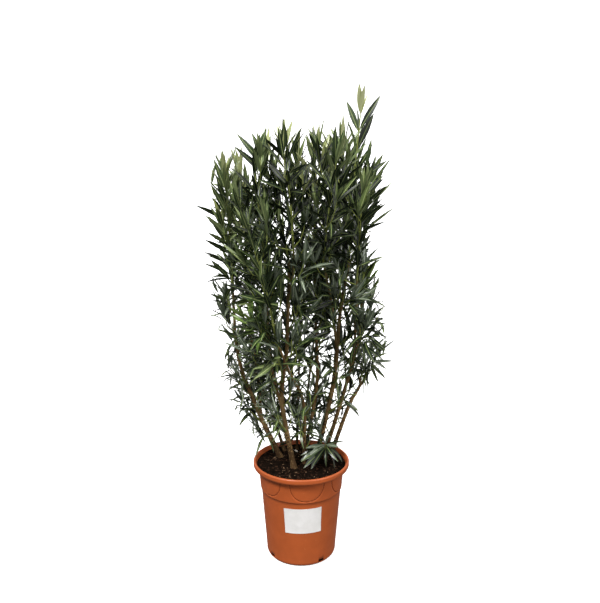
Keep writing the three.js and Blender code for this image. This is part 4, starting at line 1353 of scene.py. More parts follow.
@dataclass
class Grown:
    """A limb or stem in place: its centre line and its radius at the two ends."""

    name: str
    curve: Curve
    radii: Pair

    LINE_POINTS = 25

    def __post_init__(self) -> None:
        """Keep a polyline for measuring distances."""
        self.line = self.curve.at(np.linspace(0.0, 1.0, self.LINE_POINTS))

    def radius_at(self, share: float | Array) -> float | Array:
        """The radius at a share of the way."""
        return blend(self.radii[0], self.radii[1], share)


def distances(spots: Array, lines: Array) -> tuple[Array, Array]:
    """Distances from places to lines of straight pieces.

    Args:
        spots: The places, one row each.
        lines: The lines, as an array of line, point and coordinate.

    Returns:
        For each place and line, the least distance and the share of the line where it lies.
    """
    start, along = lines[:, :-1], np.diff(lines, axis=1)
    offset = spots[:, None, None] - start[None]
    part = np.clip((offset * along).sum(-1) / (along**2).sum(-1), 0.0, 1.0)
    away = np.linalg.norm(offset - part[..., None] * along, axis=-1)
    best = away.argmin(axis=-1)
    inner = np.take_along_axis(part, best[..., None], axis=-1)[..., 0]
    share = (best + inner) / along.shape[1]
    return away.min(axis=-1), share


# ---------- Leaves ----------


@dataclass(frozen=True)
class Section:
    """How a leaf's blade is cut: its outline along the length and the corners of each cut.

    Attributes:
        outline: The share of the length and the share of the half width at each cut.
        blade: Where each corner lies between the edges, from -1 to 1.
        rib: On which side of the midrib each corner lies.
        arch: How far each corner is raised, as a share of the half width.
        below: 1 for the corners of the underside.
        slots: The finish of the face after each corner: upper face, midrib or underside.
    """

    outline: tuple[Pair, ...]
    blade: tuple[float, ...]
    rib: tuple[float, ...]
    arch: tuple[float, ...]
    below: tuple[float, ...]
    slots: tuple[int, ...]


BROAD = Section(
    outline=(
        (0.0, 0.1), (0.06, 0.13), (0.18, 0.6), (0.36, 0.94),
        (0.55, 1.0), (0.75, 0.74), (0.9, 0.34), (1.0, 0.02),
    ),
    blade=(-1.0, -0.55, 0.0, 0.0, 0.55, 1.0, 0.0, 0.0),
    rib=(0.0, 0.0, -1.0, 1.0, 0.0, 0.0, 1.0, -1.0),
    arch=(0.0, 0.09, 0.0, 0.0, 0.09, 0.0, 0.0, 0.0),
    below=(0.0, 0.0, 0.0, 0.0, 0.0, 0.0, 1.0, 1.0),
    slots=(0, 0, 1, 0, 0, 2, 1, 2),
)
NARROW = Section(
    outline=((0.0, 0.12), (0.07, 0.16), (0.26, 0.84), (0.5, 1.0), (0.78, 0.66), (1.0, 0.03)),
    blade=(-1.0, 0.0, 0.0, 1.0, 0.0),
    rib=(0.0, -1.0, 1.0, 0.0, 0.0),
    arch=(0.0, 0.0, 0.0, 0.0, 0.0),
    below=(0.0, 0.0, 0.0, 0.0, 1.0),
    slots=(0, 1, 0, 2, 2),
)


@dataclass
class Leaves:
    """Many leaves at once, one row for each in every array."""

    root: Array
    heading: Array
    face: Array
    length: Array
    width: Array
    bend: Array
    cup: Array
    twist: Array

    THICKNESS = 0.0006
    LEAST_BEND = 1e-3
    LOOKED_AT = (0.3, 0.55, 0.8, 1.0)
    RIB = 0.0014
    RIB_TAPER = 0.6
    RIB_SHARE = 0.4
    BROAD_FROM = 0.096

    def chosen(self, keep: Array) -> "Leaves":
        """The leaves that a mask keeps."""
        return Leaves(*(getattr(self, name)[keep] for name in self.__dataclass_fields__))

    @classmethod
    def joined(cls, groups: Sequence["Leaves"]) -> "Leaves":
        """All the leaves of several groups."""
        names = cls.__dataclass_fields__
        return cls(*(np.concatenate([getattr(group, name) for group in groups]) for name in names))

    def frames(self, shares: Array) -> tuple[Array, Array, Array]:
        """The bent middle line of each leaf.

        Args:
            shares: Shares of a leaf's length.

        Returns:
            For each leaf and share the place, the direction to the side and the direction out of the face.
        """
        bend = self.bend[:, None]
        angle = bend * shares[None]
        safe = np.where(np.abs(bend) < self.LEAST_BEND, self.LEAST_BEND, bend)
        forward = (np.sin(safe * shares) / safe * self.length[:, None])[..., None]
        drop = ((1 - np.cos(safe * shares)) / safe * self.length[:, None])[..., None]
        heading, face = self.heading[:, None], self.face[:, None]
        place = self.root[:, None] + forward * heading - drop * face
        flat_side = np.cross(self.heading, self.face)[:, None]
        bent_face = face * np.cos(angle)[..., None] + heading * np.sin(angle)[..., None]
        roll = (self.twist[:, None] * shares[None])[..., None]
        side = flat_side * np.cos(roll) + bent_face * np.sin(roll)
        return place, side, bent_face * np.cos(roll) - flat_side * np.sin(roll)

    def spots(self) -> Array:
        """Places on each leaf where its room is looked at, as leaf, place and coordinate."""
        place, side, _ = self.frames(np.array(self.LOOKED_AT))
        edge = side[:, 1:3] * (self.width / 2)[:, None, None]
        return np.concatenate([place, place[:, 1:3] + edge, place[:, 1:3] - edge], axis=1)

    def add_to(self, surface: Surface) -> None:
        """Add the leaves as thin closed blades, the large ones with more corners."""
        large = self.length > self.BROAD_FROM
        self.chosen(large)._add(surface, BROAD)
        self.chosen(~large)._add(surface, NARROW)

    def _add(self, surface: Surface, cut: Section) -> None:
        """Add each leaf with an upper face, a midrib and a paler underside.

        Args:
            surface: The mesh that takes the leaves.
            cut: How the blades are cut.
        """
        if not len(self.root):
            return
        shares, widths = np.array(cut.outline).T
        place, side, face = self.frames(shares)
        half = widths * (self.width / 2)[:, None]
        rib = np.minimum(self.RIB * (1 - self.RIB_TAPER * shares), self.RIB_SHARE * half)
        sideways = half[..., None] * np.array(cut.blade) + rib[..., None] * np.array(cut.rib)
        rise = np.abs(sideways) * np.tan(self.cup)[:, None, None] + half[..., None] * np.array(cut.arch)
        rise = rise - np.array(cut.below) * self.THICKNESS
        place, side, face = place[:, :, None], side[:, :, None], face[:, :, None]
        corners = place + side * sideways[..., None] + face * rise[..., None]
        stations, ring = len(shares), len(cut.blade)
        first = np.arange(len(self.root)) * stations * ring
        faces = (ring_faces(stations, ring)[None] + first[:, None, None]).reshape(-1, 4)
        base = surface.count
        surface.add(corners.reshape(-1, 3), faces, np.tile(cut.slots, len(first) * (stations - 1)))
        caps = np.arange(ring)
        surface.add_faces(caps[::-1][None] + first[:, None] + base, 2)
        surface.add_faces(caps[None] + (first + (stations - 1) * ring)[:, None] + base, 2)

    def triangles(self) -> Array:
        """How many triangles each leaf takes."""
        return np.where(self.length > self.BROAD_FROM, *(self._count(cut) for cut in (BROAD, NARROW)))

    @staticmethod
    def _count(cut: Section) -> int:
        """How many triangles a leaf of one cut takes."""
        ring = len(cut.blade)
        return 2 * ring * (len(cut.outline) - 1) + 2 * (ring - 2)


# ---------- Limbs with bark ----------


@dataclass
class Frame:
    """The canes and boughs, and the stem of every spray that they carry."""

    limb_sides: int = 18
    ring_step: float = 0.005
    node_step: float = 0.036
    flare_height: float = 0.030
    flare: float = 0.35
    lobes: float = 0.35
    sunk: float = 0.006
    node_rise: float = 0.09
    node_width: float = 0.0022
    node_tilt: float = 0.004
    ridges: tuple[int, ...] = (2, 3, 5, 8)
    ridge_rise: float = 0.05
    ridge_drift: float = 25.0
    roughness: float = 0.015
    bark_mix: float = 0.05
    full_size: float = 0.96
    bark_from: tuple[float, ...] = (0.46, 0.85, 1.0, 1.15)
    stem_tip: float = 0.0017
    stem_on_side: float = 0.55
    stub_at: float = 0.74
    stub_radius: float = 0.0052
    seed: int = 101
    limbs: dict[str, Grown] = field(default_factory=dict)
    stems: list[Grown] = field(default_factory=list)

    def place(self) -> None:
        """Put every cane, bough and stem in its place."""
        for cane in CANES:
            self.limbs[cane.name] = Grown(cane.name, Curve(cane.bends), cane.radii)
        for bough in BOUGHS:
            parent = self.limbs[bough.on].curve
            start = parent.at(parent.share_at_height(bough.height))
            self.limbs[bough.name] = Grown(bough.name, Curve([start, *bough.bends]), bough.radii)
        for spray in SPRAYS:
            limb = self.limbs[spray.on]
            share = 1.0 if spray.height == TIP else limb.curve.share_at_height(spray.height)
            radius = float(limb.radius_at(share)) * (1.0 if spray.height == TIP else self.stem_on_side)
            curve = Curve([limb.curve.at(share), *spray.bends])
            self.stems.append(Grown(spray.name, curve, (radius, self.stem_tip)))

    def build(self) -> bpy.types.Object:
        """Make the canes and boughs, with the relief of their bark."""
        bark = Surface()
        for number, limb in enumerate(self.limbs.values()):
            self._add_limb(bark, limb, number)
        self._add_stub(bark)
        made = bark.piece("canes_and_boughs", [*BARK, CUT_WOOD], crease=60.0)
        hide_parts(*self.limbs)
        return made

    def _add_limb(self, bark: Surface, limb: Grown, number: int) -> None:
        """Add one limb: tapering, flared at the soil, ringed at its nodes and wrinkled lengthwise."""
        pick = np.random.default_rng(self.seed + number)
        length = limb.curve.length()
        rings = max(12, round(length / self.ring_step))
        shares = np.linspace(0.0, 1.0, rings)
        along = (shares * length)[:, None]
        turn = (np.arange(self.limb_sides) * 2 * math.pi / self.limb_sides)[None]
        radius = np.repeat(limb.radius_at(shares)[:, None], self.limb_sides, axis=1) * self.full_size
        curve = limb.curve
        if limb.name.startswith("cane"):
            foot = np.clip(1 - along / self.flare_height, 0.0, 1.0)
            radius = radius * (1 + self.flare * foot**2 * (1 + self.lobes * np.sin(3 * turn + number)))
            points = curve.points.copy()
            points[0] = points[0] - curve.heading(0.0) * self.sunk
            curve = Curve(points)
        step = self.node_step * blend(0.85, 1.15, pick.random())
        from_node = (along + self.node_tilt * np.sin(turn + number)) % step - step / 2
        radius = radius * (1 + self.node_rise * np.exp(-((from_node / self.node_width) ** 2)))
        for ridges in self.ridges:
            phase = pick.uniform(0, 2 * math.pi)
            drift = pick.uniform(-self.ridge_drift, self.ridge_drift)
            radius = radius * (1 + self.ridge_rise / ridges * np.sin(ridges * turn + phase + drift * along))
        radius = radius * (1 + pick.uniform(-self.roughness, self.roughness, radius.shape))
        mixed = pick.uniform(-self.bark_mix, self.bark_mix, (rings, self.limb_sides))
        height = curve.at(shares)[:, 2][:, None] + mixed
        slots = np.searchsorted(self.bark_from, height[:-1])
        add_tube(bark, curve, shares, radius, slots.ravel())

    def _add_stub(self, bark: Surface) -> None:
        """Add the cut stub beside the outermost cane on the right."""
        start = self.limbs["cane_right_outer"].curve.at(self.stub_at)
        stub = Curve([start, start + [0.0, -0.008, 0.014], start + [-0.002, -0.014, 0.034]])
        rings, sides = 6, 12
        add_tube(bark, stub, np.linspace(0, 1, rings), np.full((rings, sides), self.stub_radius), 1)


# ---------- Twigs and leaves ----------


@dataclass(frozen=True)
class FineTwigs:
    """The short leafy twigs that the canes and boughs carry between the sprays.

    Attributes:
        habit: How they carry their leaves.
        low: The height of the lowest one.
        high: The height of the highest one.
        step: The distance between two along a limb.
        reach: The least and the greatest length.
        spread: Degrees between twig and leaf, at its foot and at its tip.
        shaded_high: The height of the highest one on the shaded canes.
        lean: The least and the greatest lean away from the limb, from 0 to 1.
    """

    habit: Growth
    low: float
    high: float
    step: float
    reach: Pair
    spread: Pair
    shaded_high: float
    lean: Pair = (0.34, 0.62)


# The canes in the middle of the plant, whose lowest twigs end sooner.
SHADED_CANES = ("cane_front_thin", "cane_centre", "cane_rear_left", "cane_rear_right")
FINE_TWIGS = (
    FineTwigs(
        Growth((Tint.DARK, Tint.DEEP, Tint.GREY), 0.096, 0.118, 0.023, (30, 90), 0.9, 0.85, 0.3),
        0.39, 0.74, 0.04, (0.06, 0.16), (70, 36), 0.56,
    ),
    FineTwigs(
        Growth((Tint.DARK, Tint.MID, Tint.GREY), 0.114, 0.138, 0.028, (8, 60), 0.9, 0.6, 0.38),
        0.74, 1.3, 0.044, (0.09, 0.19), (58, 30), 1.3,
    ),
)


@dataclass(frozen=True)
class Variety:
    """How much the leaves of a shoot differ from one another.

    Angles are in degrees, and a spread is a standard deviation.

    Attributes:
        along: The spread of their places along the stem.
        ends: The least and the greatest share of the stem below a leaf.
        turn: The greatest change of their turn round the stem.
        angle: The spread of their angle to the stem.
        length: The least and the greatest length, as shares of a full leaf.
        cup: The least and the greatest rise of a blade's halves.
        twist: The spread of a blade's twist.
        roll: The spread of a blade's turn round its own line.
        whorl_age: The spread of age from whorl to whorl.
        leaf_age: The spread of age from leaf to leaf.
        ages: The ages at which the middle and the young tint begin.
        young_from: The share of the stem from which leaves get smaller and straighter.
        closing: How late along the stem the leaves draw close to it.
        least_angle: The least angle to the stem.
    """

    along: float = 0.012
    ends: Pair = (0.02, 0.99)
    turn: float = 14.0
    angle: float = 8.0
    length: Pair = (0.74, 1.1)
    cup: Pair = (4.0, 20.0)
    twist: float = 20.0
    roll: float = 24.0
    whorl_age: float = 0.24
    leaf_age: float = 0.12
    ages: Pair = (0.45, 0.94)
    young_from: float = 0.55
    closing: float = 1.4
    least_angle: float = 10.0


@dataclass(frozen=True)
class Bud:
    """The upright leaves at the tip of a stem.

    Attributes:
        leaves: How many there are.
        root: The share of the stem where they grow.
        tilt: Degrees between the stem and the outermost and the innermost leaf.
        size: The length of the outermost and the innermost, as shares of a full leaf.
        vary: The least and the greatest factor for the length of all.
        bend: The least and the greatest bend, in degrees.
        cup: The rise of a blade's halves, in radians.
    """

    leaves: int = 4
    root: float = 0.985
    tilt: Pair = (20.0, 5.0)
    size: Pair = (0.98, 0.5)
    vary: Pair = (0.85, 1.05)
    bend: Pair = (-6.0, 10.0)
    cup: float = 0.36


@dataclass(frozen=True)
class SideTwigs:
    """The side twigs of a spray's stem.

    Attributes:
        lowest: The share of the stem below them where the stem goes on from a limb's tip.
        lowest_on_side: The same where it leaves a limb's side.
        highest: The share of the stem below the highest one.
        reach: The least and the greatest length.
        on_side: How much shorter they are where the stem leaves a limb's side.
        lean: How far they lean away from the stem, from 0 to 1.
        size: The size of their leaves as a share of a full leaf.
        spread: Degrees between twig and leaf, at its foot and at its tip.
        youth: How young the tips of the lowest and of the highest one are.
    """

    lowest: float = 0.05
    lowest_on_side: float = 0.3
    highest: float = 0.78
    reach: Pair = (0.09, 0.17)
    on_side: float = 0.6
    lean: float = 0.44
    size: float = 0.92
    spread: Pair = (56, 28)
    youth: Pair = (0.6, 1.0)


@dataclass
class Foliage:
    """The twigs and leaves that grow on from the limbs.

    A leaf without room is tried again, closer to its stem each time, by the shares in fold. A side twig
    has two parts, whose shares of its reach are twig_parts, and the upper one keeps the share twig_rights
    of its lean. Its room is tried with a blade: probe is the blade's share of the reach, and its width.
    """

    pot: Pot
    frame: Frame
    low: Array
    high: Array
    variety: Variety = Variety()
    bud: Bud = Bud()
    side_twigs: SideTwigs = SideTwigs()
    fold: tuple[float, ...] = (1.0, 0.72, 0.5)
    limb_room: float = 0.0015
    shared_room: float = 0.040
    lane_room: float = -0.003
    lane_rise: float = 0.3
    cleft_slope: float = 0.15
    least_depth: float = 0.88
    soil_room: float = 0.004
    rim_room: float = 0.004
    fan_turn: float = 112.0
    lone_cup: float = 0.2
    twig_sides: int = 7
    twig_ring: float = 0.010
    twig_radius: Pair = (0.0026, 0.0011)
    twig_turn: float = 137.5
    turn_noise: float = 40.0
    twig_parts: Pair = (0.6, 0.55)
    twig_rights: float = 0.55
    twig_swell: float = 0.1
    probe: Pair = (0.5, 0.004)
    bud_from: float = 0.9
    folded_size: float = 0.7
    root_inset: float = 0.6
    seed: int = 211
    most_triangles: int = 190_000
    by_tint: dict[Tint, list[Leaves]] = field(default_factory=dict)
    twigs: Surface = field(default_factory=Surface)

    def __post_init__(self) -> None:
        """Keep the limbs and stems as arrays of lines."""
        self.limb_lines = np.array([limb.line for limb in self.frame.limbs.values()])
        self.stem_lines = np.array([stem.line for stem in self.frame.stems])

    # ----- Room -----

    def _free(self, leaves: Leaves, own: int | None) -> Array:
        """Which leaves keep to their room, clear of limbs, soil and pot.

        Args:
            leaves: The leaves to look at.
            own: The number of their spray, or None for a twig between the sprays.

        Returns:
            True for each leaf that has room.
        """
        spots = leaves.spots()
        flat = spots.reshape(-1, 3)
        clear = (flat > self.low).all(axis=1) & (flat < self.high).all(axis=1) & self._within(flat)
        clear &= flat[:, 2] > SOIL_LINE + self.soil_room
        over_rim = np.hypot(flat[:, 0], flat[:, 1]) > self.pot.mouth_radius - 2 * self.rim_room
        clear &= ~(over_rim & (flat[:, 2] < self.pot.height + self.rim_room))
        away, share = distances(flat, self.limb_lines)
        limbs = self.frame.limbs.values()
        thick = np.stack([limb.radius_at(share[:, k]) for k, limb in enumerate(limbs)], axis=-1)
        clear &= (away > thick + self.limb_room).all(axis=1) & ~self._before_canes(flat)
        if own is not None:
            to_stems, _ = distances(flat, self.stem_lines)
            mine = to_stems[:, own].copy()
            to_stems[:, own] = np.inf
            clear &= to_stems.min(axis=1) > mine - self.shared_room
        return clear.reshape(spots.shape[:2]).all(axis=1)

    def _before_canes(self, spots: Array) -> Array:
        """Which places lie in the open lanes before the thick canes, where few leaves grow."""
        before = np.zeros(len(spots), bool)
        for name, (lowest, highest) in OPEN_LANES.items():
            cane = self.frame.limbs[name]
            x, y, z = cane.line.T
            level = spots[:, 2] - self.lane_rise * np.maximum(np.interp(spots[:, 2], z, y) - spots[:, 1], 0.0)
            near = np.abs(spots[:, 0] - np.interp(level, z, x)) < cane.radii[0] + self.lane_room
            front = spots[:, 1] < np.interp(level, z, y)
            before |= near & front & (level > lowest) & (level < highest)
        return before

    def _within(self, spots: Array) -> Array:
        """Which places are within the reach of the crown at their height."""
        heights, left, right = np.array(REACH).T
        least = np.interp(spots[:, 2], heights, left)
        most = np.interp(spots[:, 2], heights, right)
        share = np.maximum((most - least) / (right - left).max(), self.least_depth)
        inside = (spots[:, 0] > least) & (spots[:, 0] < most)
        for middle, half, foot in CLEFTS:
            rise = np.maximum(spots[:, 2] - foot, 0.0)
            inside &= (rise == 0.0) | (np.abs(spots[:, 0] - middle) > half + self.cleft_slope * rise)
        return inside & (spots[:, 1] > self.low[1] * share) & (spots[:, 1] < self.high[1] * share)

    # ----- Shoots -----

    def _whorls(
        self,
        growth: Growth,
        own: int | None,
        stem: Grown,
        size: float,
        spread: Pair,
        pick: np.random.Generator,
        youth: float = 1.0,
    ) -> None:
        """Grow whorls of three leaves along a stem, each turned by 60 degrees from the one below.

        Args:
            growth: How the shoot carries its leaves.
            own: The number of the spray.
            stem: The stem that carries the leaves.
            size: The size of the leaves as a share of a full leaf.
            spread: Degrees between stem and leaf at the foot and at the tip.
            pick: The seeded chooser.
            youth: How young the stem's tip is, from 0 to 1.
        """
        vary = self.variety
        length = stem.curve.length() * (growth.last - growth.first)
        count = max(2, round(length / growth.step) + 1)
        total = count * 3
        along = np.repeat(np.linspace(growth.first, growth.last, count), 3)
        along = np.clip(along + pick.normal(0, vary.along, total), *vary.ends)
        up = stem.curve.heading(along)
        side_a, side_b = across(up)
        rank = np.arange(total)
        turn = 90 + 60 * (rank // 3) + 120 * (rank % 3) + pick.uniform(-vary.turn, vary.turn, total)
        turn = np.radians(((turn + 180) % 360 - 180) * growth.fan - self.fan_turn * (growth.fan < 1))
        outward = side_a * np.cos(turn)[:, None] + side_b * np.sin(turn)[:, None]
        angle = blend(spread[0], spread[1], along**vary.closing) + pick.normal(0, vary.angle, total)
        young = ease(vary.young_from, 1.0, along)
        leaf = growth.leaf * size * blend(1.0, growth.tip_size, young) * pick.uniform(*vary.length, total)
        bend = np.radians(pick.uniform(*growth.bend, total) * blend(1.0, 0.5, young))
        cup = np.radians(pick.uniform(*vary.cup, total))
        twist = np.radians(pick.normal(0, vary.twist, total))
        roll = np.radians(pick.normal(0, vary.roll, total))
        root = stem.curve.at(along) + outward * (stem.radius_at(along) * self.root_inset)[:, None]
        tints = self._tints(growth, along * youth, pick)
        waiting = np.ones(total, bool)
        above = unit(blend(up, np.array([0.0, 0.0, 1.0]), growth.sag))
        for fold in self.fold:
            tilt = np.radians(np.maximum(angle * fold, vary.least_angle))[:, None]
            heading = unit(up * np.cos(tilt) + outward * np.sin(tilt))
            face = self._rolled(unit(np.cross(np.cross(heading, above), heading)), heading, roll)
            full = leaf * blend(self.folded_size, 1.0, fold)
            leaves = Leaves(root, heading, face, full, full * growth.slim, bend, cup, twist)
            room = waiting & self._free(leaves, own)
            self._keep(leaves, tints, room)
            waiting &= ~room

    @staticmethod
    def _rolled(face: Array, heading: Array, roll: Array) -> Array:
        """The directions out of the blades, turned round the leaves' own lines by angles in radians."""
        return face * np.cos(roll)[:, None] + np.cross(heading, face) * np.sin(roll)[:, None]

    def _keep(self, leaves: Leaves, tints: Array, room: Array) -> None:
        """Keep the leaves that have room, each under its tint."""
        for tint in Tint:
            chosen = room & (tints == tint)
            if chosen.any():
                self.by_tint.setdefault(tint, []).append(leaves.chosen(chosen))

    def _tints(self, growth: Growth, along: Array, pick: np.random.Generator) -> Array:
        """The tint of each leaf, paler towards the stem's tip and much alike within a whorl."""
        vary = self.variety
        old, middle, young = growth.tints
        whorl = np.repeat(pick.normal(0, vary.whorl_age, len(along) // 3), 3)
        age = whorl + along + pick.normal(0, vary.leaf_age, len(along))
        tint = np.full(len(along), old, object)
        tint[age > vary.ages[0]] = middle
        tint[age > vary.ages[1]] = young
        return tint

    def _bud(self, growth: Growth, own: int | None, stem: Grown, pick: np.random.Generator) -> None:
        """Grow the upright leaves at the tip of a stem."""
        bud = self.bud
        up = np.repeat(stem.curve.heading(1.0)[None], bud.leaves, axis=0)
        side_a, side_b = across(up)
        turn = np.radians(np.arange(bud.leaves) * self.twig_turn + pick.uniform(0, 360))[:, None]
        outward = side_a * np.cos(turn) + side_b * np.sin(turn)
        tilt = np.radians(np.linspace(*bud.tilt, bud.leaves))[:, None]
        heading = unit(up * np.cos(tilt) + outward * np.sin(tilt))
        face = unit(np.cross(np.cross(heading, up), heading))
        length = growth.leaf * np.linspace(*bud.size, bud.leaves) * pick.uniform(*bud.vary)
        root = np.repeat(stem.curve.at(bud.root)[None], bud.leaves, axis=0)
        bend = np.radians(pick.uniform(*bud.bend, bud.leaves))
        cup = np.full(bud.leaves, bud.cup)
        leaves = Leaves(root, heading, face, length, length * growth.slim, bend, cup, bend * 0)
        self._keep(leaves, np.full(bud.leaves, growth.tints[2], object), self._free(leaves, own))

    def _add_twig(self, stem: Grown, slot: int) -> None:
        """Add the round stem of a shoot, with a slight swelling where leaves sit."""
        length = stem.curve.length()
        rings = max(5, round(length / self.twig_ring))
        shares = np.linspace(0.0, 1.0, rings)
        swell = 1 + self.twig_swell * np.cos(np.arange(rings) * math.pi)
        radii = np.repeat((stem.radius_at(shares) * swell)[:, None], self.twig_sides, axis=1)
        add_tube(self.twigs, stem.curve, shares, radii, slot)

    def _side_twig(
        self, own: int | None, stem: Grown, along: float, turn: float, reach: float, lean: float
    ) -> Grown | None:
        """A side twig that leaves a stem and bends up, where it has room.

        Args:
            own: The number of the spray.
            stem: The stem or limb that it leaves.
            along: The share of the stem where it leaves.
            turn: The angle round the stem, in degrees.
            reach: The length of the twig.
            lean: How far it leans away from the stem, from 0 to 1.

        Returns:
            The twig, or None where it would leave its room.
        """
        root = stem.curve.at(along)
        up = stem.curve.heading(along)
        first, second = across(up)
        outward = first * math.cos(math.radians(turn)) + second * math.sin(math.radians(turn))
        lower, upper = self.twig_parts
        middle = root + (up * (1 - lean) + outward * lean) * reach * lower
        tip_lean = lean * self.twig_rights
        tip = middle + (up * (1 - tip_lean) + outward * tip_lean) * reach * upper
        thickest, thinnest = self.twig_radius
        radius = min(thickest, float(stem.radius_at(along)) * self.root_inset)
        twig = Grown(f"{stem.name}_twig", Curve([root, middle, tip]), (radius, thinnest))
        way = unit(tip - middle)
        none = np.zeros(1)
        length, width = none + reach * self.probe[0], none + self.probe[1]
        probe = Leaves(middle[None], way[None], across(way)[0][None], length, width, none, none, none)
        return twig if self._free(probe, own)[0] else None

    # ----- Growth -----

    def grow(self) -> None:
        """Grow every spray, then the fine twigs and the leaves that stand out."""
        for own, (spray, stem) in enumerate(zip(SPRAYS, self.frame.stems)):
            self._grow_spray(own, spray, stem)
        for number, limb in enumerate(self.frame.limbs.values()):
            for kind in FINE_TWIGS:
                self._grow_fine(number, limb, kind)
        self._grow_lone()

    def _grow_spray(self, own: int, spray: Spray, stem: Grown) -> None:
        """Grow one spray: its stem and whorls, and the side twigs with theirs."""
        pick = np.random.default_rng(self.seed + 7 * own)
        growth = spray.habit.value
        self._add_twig(stem, 0)
        self._whorls(growth, own, stem, 1.0, spray.spread, pick)
        if growth.last > self.bud_from:
            self._bud(growth, own, stem, pick)
        if not growth.side_step:
            return
        at_tip = spray.height == TIP
        side = self.side_twigs
        count = max(1, round(stem.curve.length() / growth.side_step))
        lowest = side.lowest if at_tip else side.lowest_on_side
        highest = min(side.highest, growth.last)
        for k in range(count):
            along = blend(lowest, highest, (k + pick.random()) / count)
            reach = pick.uniform(*side.reach) * (1.0 if at_tip else side.on_side)
            twig = self._side_twig(own, stem, along, self._next_turn(k, pick), reach, side.lean)
            if twig is None:
                continue
            self._add_twig(twig, 1)
            self._whorls(growth, own, twig, side.size, side.spread, pick, blend(*side.youth, along))
            self._bud(growth, own, twig, pick)

    def _next_turn(self, number: int, pick: np.random.Generator) -> float:
        """The angle round the stem of the next twig, in degrees."""
        return number * self.twig_turn + pick.uniform(-self.turn_noise, self.turn_noise)

    def _grow_fine(self, number: int, limb: Grown, kind: FineTwigs) -> None:
        """Grow the fine twigs of one kind along one limb."""
        pick = np.random.default_rng(self.seed + 1000 + number)
        highest = kind.shaded_high if limb.name in SHADED_CANES else kind.high
        count = round(limb.curve.length() / kind.step)
        for k in range(count):
            along = float(np.clip((k + pick.random()) / count, 0.0, 0.99))
            turn = self._next_turn(k, pick)
            reach, lean = pick.uniform(*kind.reach), pick.uniform(*kind.lean)
            if not kind.low < limb.curve.at(along)[2] < highest:
                continue
            twig = self._side_twig(None, limb, along, turn, reach, lean)
            if twig is None:
                continue
            self._add_twig(twig, 1)
            self._whorls(kind.habit, None, twig, 1.0, kind.spread, pick)
            self._bud(kind.habit, None, twig, pick)

    def _grow_lone(self) -> None:
        """Grow the leaves that stand out, each from its stem to its own tip."""
        stems = {stem.name: stem for stem in self.frame.stems}
        placed = [(stems[name].curve, LoneLeaf(*row)) for name, rows in LONE_LEAVES.items() for row in rows]
        for curve, leaf in placed:
            root = curve.at(curve.share_at_height(leaf.height))
            chord = np.array(leaf.tip) - root
            bend = math.radians(leaf.bend)
            reach = float(np.linalg.norm(chord))
            way = chord / reach
            face = unit(np.cross(np.cross(way, [0.0, 0.0, 1.0]), way))
            heading = way * math.cos(bend / 2) + face * math.sin(bend / 2)
            up_face = face * math.cos(bend / 2) - way * math.sin(bend / 2)
            length = reach * (bend / 2) / math.sin(bend / 2)
            one = np.ones(1)
            up_face = self._rolled(up_face[None], heading[None], one * math.radians(leaf.roll))
            size = (one * length, one * leaf.width)
            made = Leaves(root[None], heading[None], up_face, *size, one * bend, one * self.lone_cup, one * 0)
            self.by_tint.setdefault(leaf.tint, []).append(made)

    # ----- Pieces -----

    def build(self) -> None:
        """Join twigs and leaves into pieces, the leaves by tint."""
        names = [spray.name for spray in SPRAYS]
        stems = self.twigs.piece("stems_and_twigs", TWIG_BARK, crease=60.0)
        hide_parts(*names)
        for tint, groups in self.by_tint.items():
            leaves = Leaves.joined(groups)
            part = (np.cumsum(leaves.triangles()) // self.most_triangles).astype(int)
            for number in range(part.max() + 1):
                blades = Surface()
                chosen = leaves.chosen(part == number)
                chosen.add_to(blades)
                name = f"leaves_{tint.name.lower()}_{number + 1}"
                made = blades.piece(name, tint.value.slots(), crease=50.0)
                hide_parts(*names)
                log.info("%s: %d leaves", name, len(chosen.root))


# ---------- Studio ----------


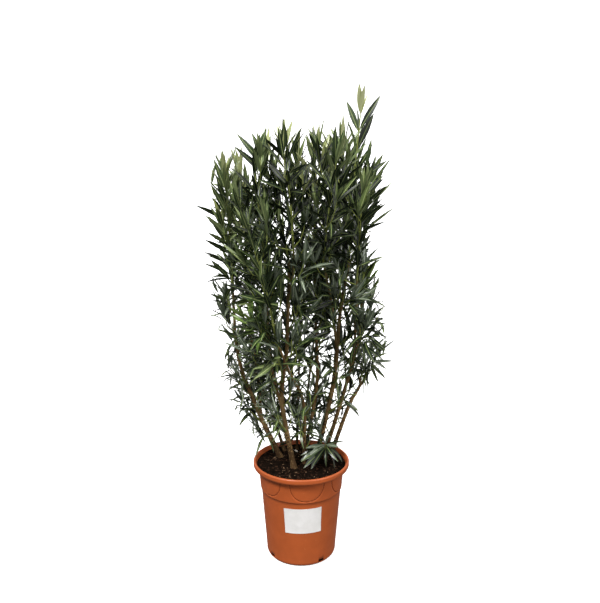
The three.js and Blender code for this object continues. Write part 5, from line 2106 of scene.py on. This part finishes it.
@dataclass(frozen=True)
class Studio:
    """A plain pale floor and backdrop, a soft sky, two broad suns and the camera."""

    camera_place: Point = (-0.0045, -2.487, 1.541)
    camera_dip: float = 12.66
    lens: float = 42.45
    reach: float = 60.0
    dome_steps: tuple[int, int] = (48, 12)
    dome_climb: Pair = (-2.0, 88.0)
    dome_size: float = 0.95
    glow: Pair = (0.6, 1.05)
    sky: float = 0.74
    ground: float = 0.12
    dim_below: float = -0.05
    bright_above: float = 0.4
    key: tuple[float, float, float, float] = (-34.0, 52.0, 3.6, 16.0)
    fill: tuple[float, float, float, float] = (50.0, 32.0, 1.7, 40.0)

    def build(self) -> None:
        """Set up the floor, the backdrop, the light and the camera."""
        scene = bpy.context.scene
        scene.view_settings.view_transform = "Standard"
        floor = Surface()
        reach, level = self.reach, -MM / 2
        ends = [(x * reach, y * reach, level) for x, y in ((-1, -1), (1, -1), (1, 1), (-1, 1))]
        floor.add(np.array(ends), np.array([[0, 1, 2, 3]]))
        self._stage(floor, "floor", self.glow[0])
        self._stage(self._dome(), "backdrop", self.glow[1])
        scene.world = self._sky()
        for name, (turn, height, strength, softness) in (("key_sun", self.key), ("fill_sun", self.fill)):
            lamp = bpy.data.lights.new(name, "SUN")
            lamp.energy = strength
            lamp.angle = math.radians(softness)
            made = bpy.data.objects.new(name, lamp)
            made.rotation_euler = (math.radians(90 - height), 0.0, math.radians(turn))
            scene.collection.objects.link(made)
        camera = bpy.data.objects.new("camera", bpy.data.cameras.new("camera"))
        camera.data.lens = self.lens
        camera.location = self.camera_place
        camera.rotation_euler = (math.radians(90 - self.camera_dip), 0.0, 0.0)
        scene.collection.objects.link(camera)
        scene.camera = camera

    def _dome(self) -> Surface:
        """A wide dome over the floor."""
        sides, rings = self.dome_steps
        turn = np.arange(sides) * 2 * math.pi / sides
        climb = np.radians(np.linspace(*self.dome_climb, rings))[:, None]
        x = np.cos(climb) * np.cos(turn)
        y = np.cos(climb) * np.sin(turn)
        z = np.repeat(np.sin(climb), sides, axis=1)
        corners = np.stack([x, y, z], axis=-1).reshape(-1, 3) * self.reach * self.dome_size
        dome = Surface()
        dome.add(corners, ring_faces(rings, sides)[:, ::-1])
        dome.add_faces(np.arange(sides)[None] + (rings - 1) * sides)
        return dome

    @staticmethod
    def _stage(surface: Surface, name: str, glow: float) -> None:
        """Make a white part of the set that takes shadows but lights nothing.

        Args:
            surface: Its mesh.
            name: Its name.
            glow: How strongly it shines, so that it stays white in shade.
        """
        made = surface.piece(name, [Finish(f"white {name}", "fafafa", "f8f8f8", 0.5, 0.9, specular=0.0)])
        shader = made.data.materials[0].node_tree.nodes["Principled BSDF"]
        shader.inputs["Emission Color"].default_value = (1.0, 1.0, 1.0, 1.0)
        shader.inputs["Emission Strength"].default_value = glow
        made.visible_diffuse = False
        made.visible_glossy = False
        made.visible_shadow = False
        made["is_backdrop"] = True

    def _sky(self) -> bpy.types.World:
        """A white sky, dim below the horizon."""
        world = bpy.data.worlds.new("soft white studio")
        world.use_nodes = True
        tree = world.node_tree
        back = tree.nodes["Background"]
        back.inputs["Color"].default_value = (1.0, 1.0, 1.0, 1.0)
        parts = tree.nodes.new("ShaderNodeSeparateXYZ")
        tree.links.new(tree.nodes.new("ShaderNodeTexCoord").outputs["Generated"], parts.inputs["Vector"])
        level = tree.nodes.new("ShaderNodeMapRange")
        level.inputs["From Min"].default_value = self.dim_below
        level.inputs["From Max"].default_value = self.bright_above
        level.inputs["To Min"].default_value = self.ground
        level.inputs["To Max"].default_value = self.sky
        tree.links.new(parts.outputs["Z"], level.inputs["Value"])
        tree.links.new(level.outputs["Result"], back.inputs["Strength"])
        return world


def main() -> None:
    """Build the pot, the soil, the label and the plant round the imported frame."""
    logging.basicConfig(level=logging.INFO, format="%(name)s: %(message)s")
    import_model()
    low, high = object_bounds()
    pot = Pot.of_frame()
    pot.build()
    Compost.of_frame(pot).build()
    Label(pot).build()
    frame = Frame()
    frame.place()
    frame.build()
    foliage = Foliage(pot=pot, frame=frame, low=np.array(low), high=np.array(high))
    foliage.grow()
    foliage.build()
    Studio().build()
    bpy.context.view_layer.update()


if __name__ == "__main__":
    main()
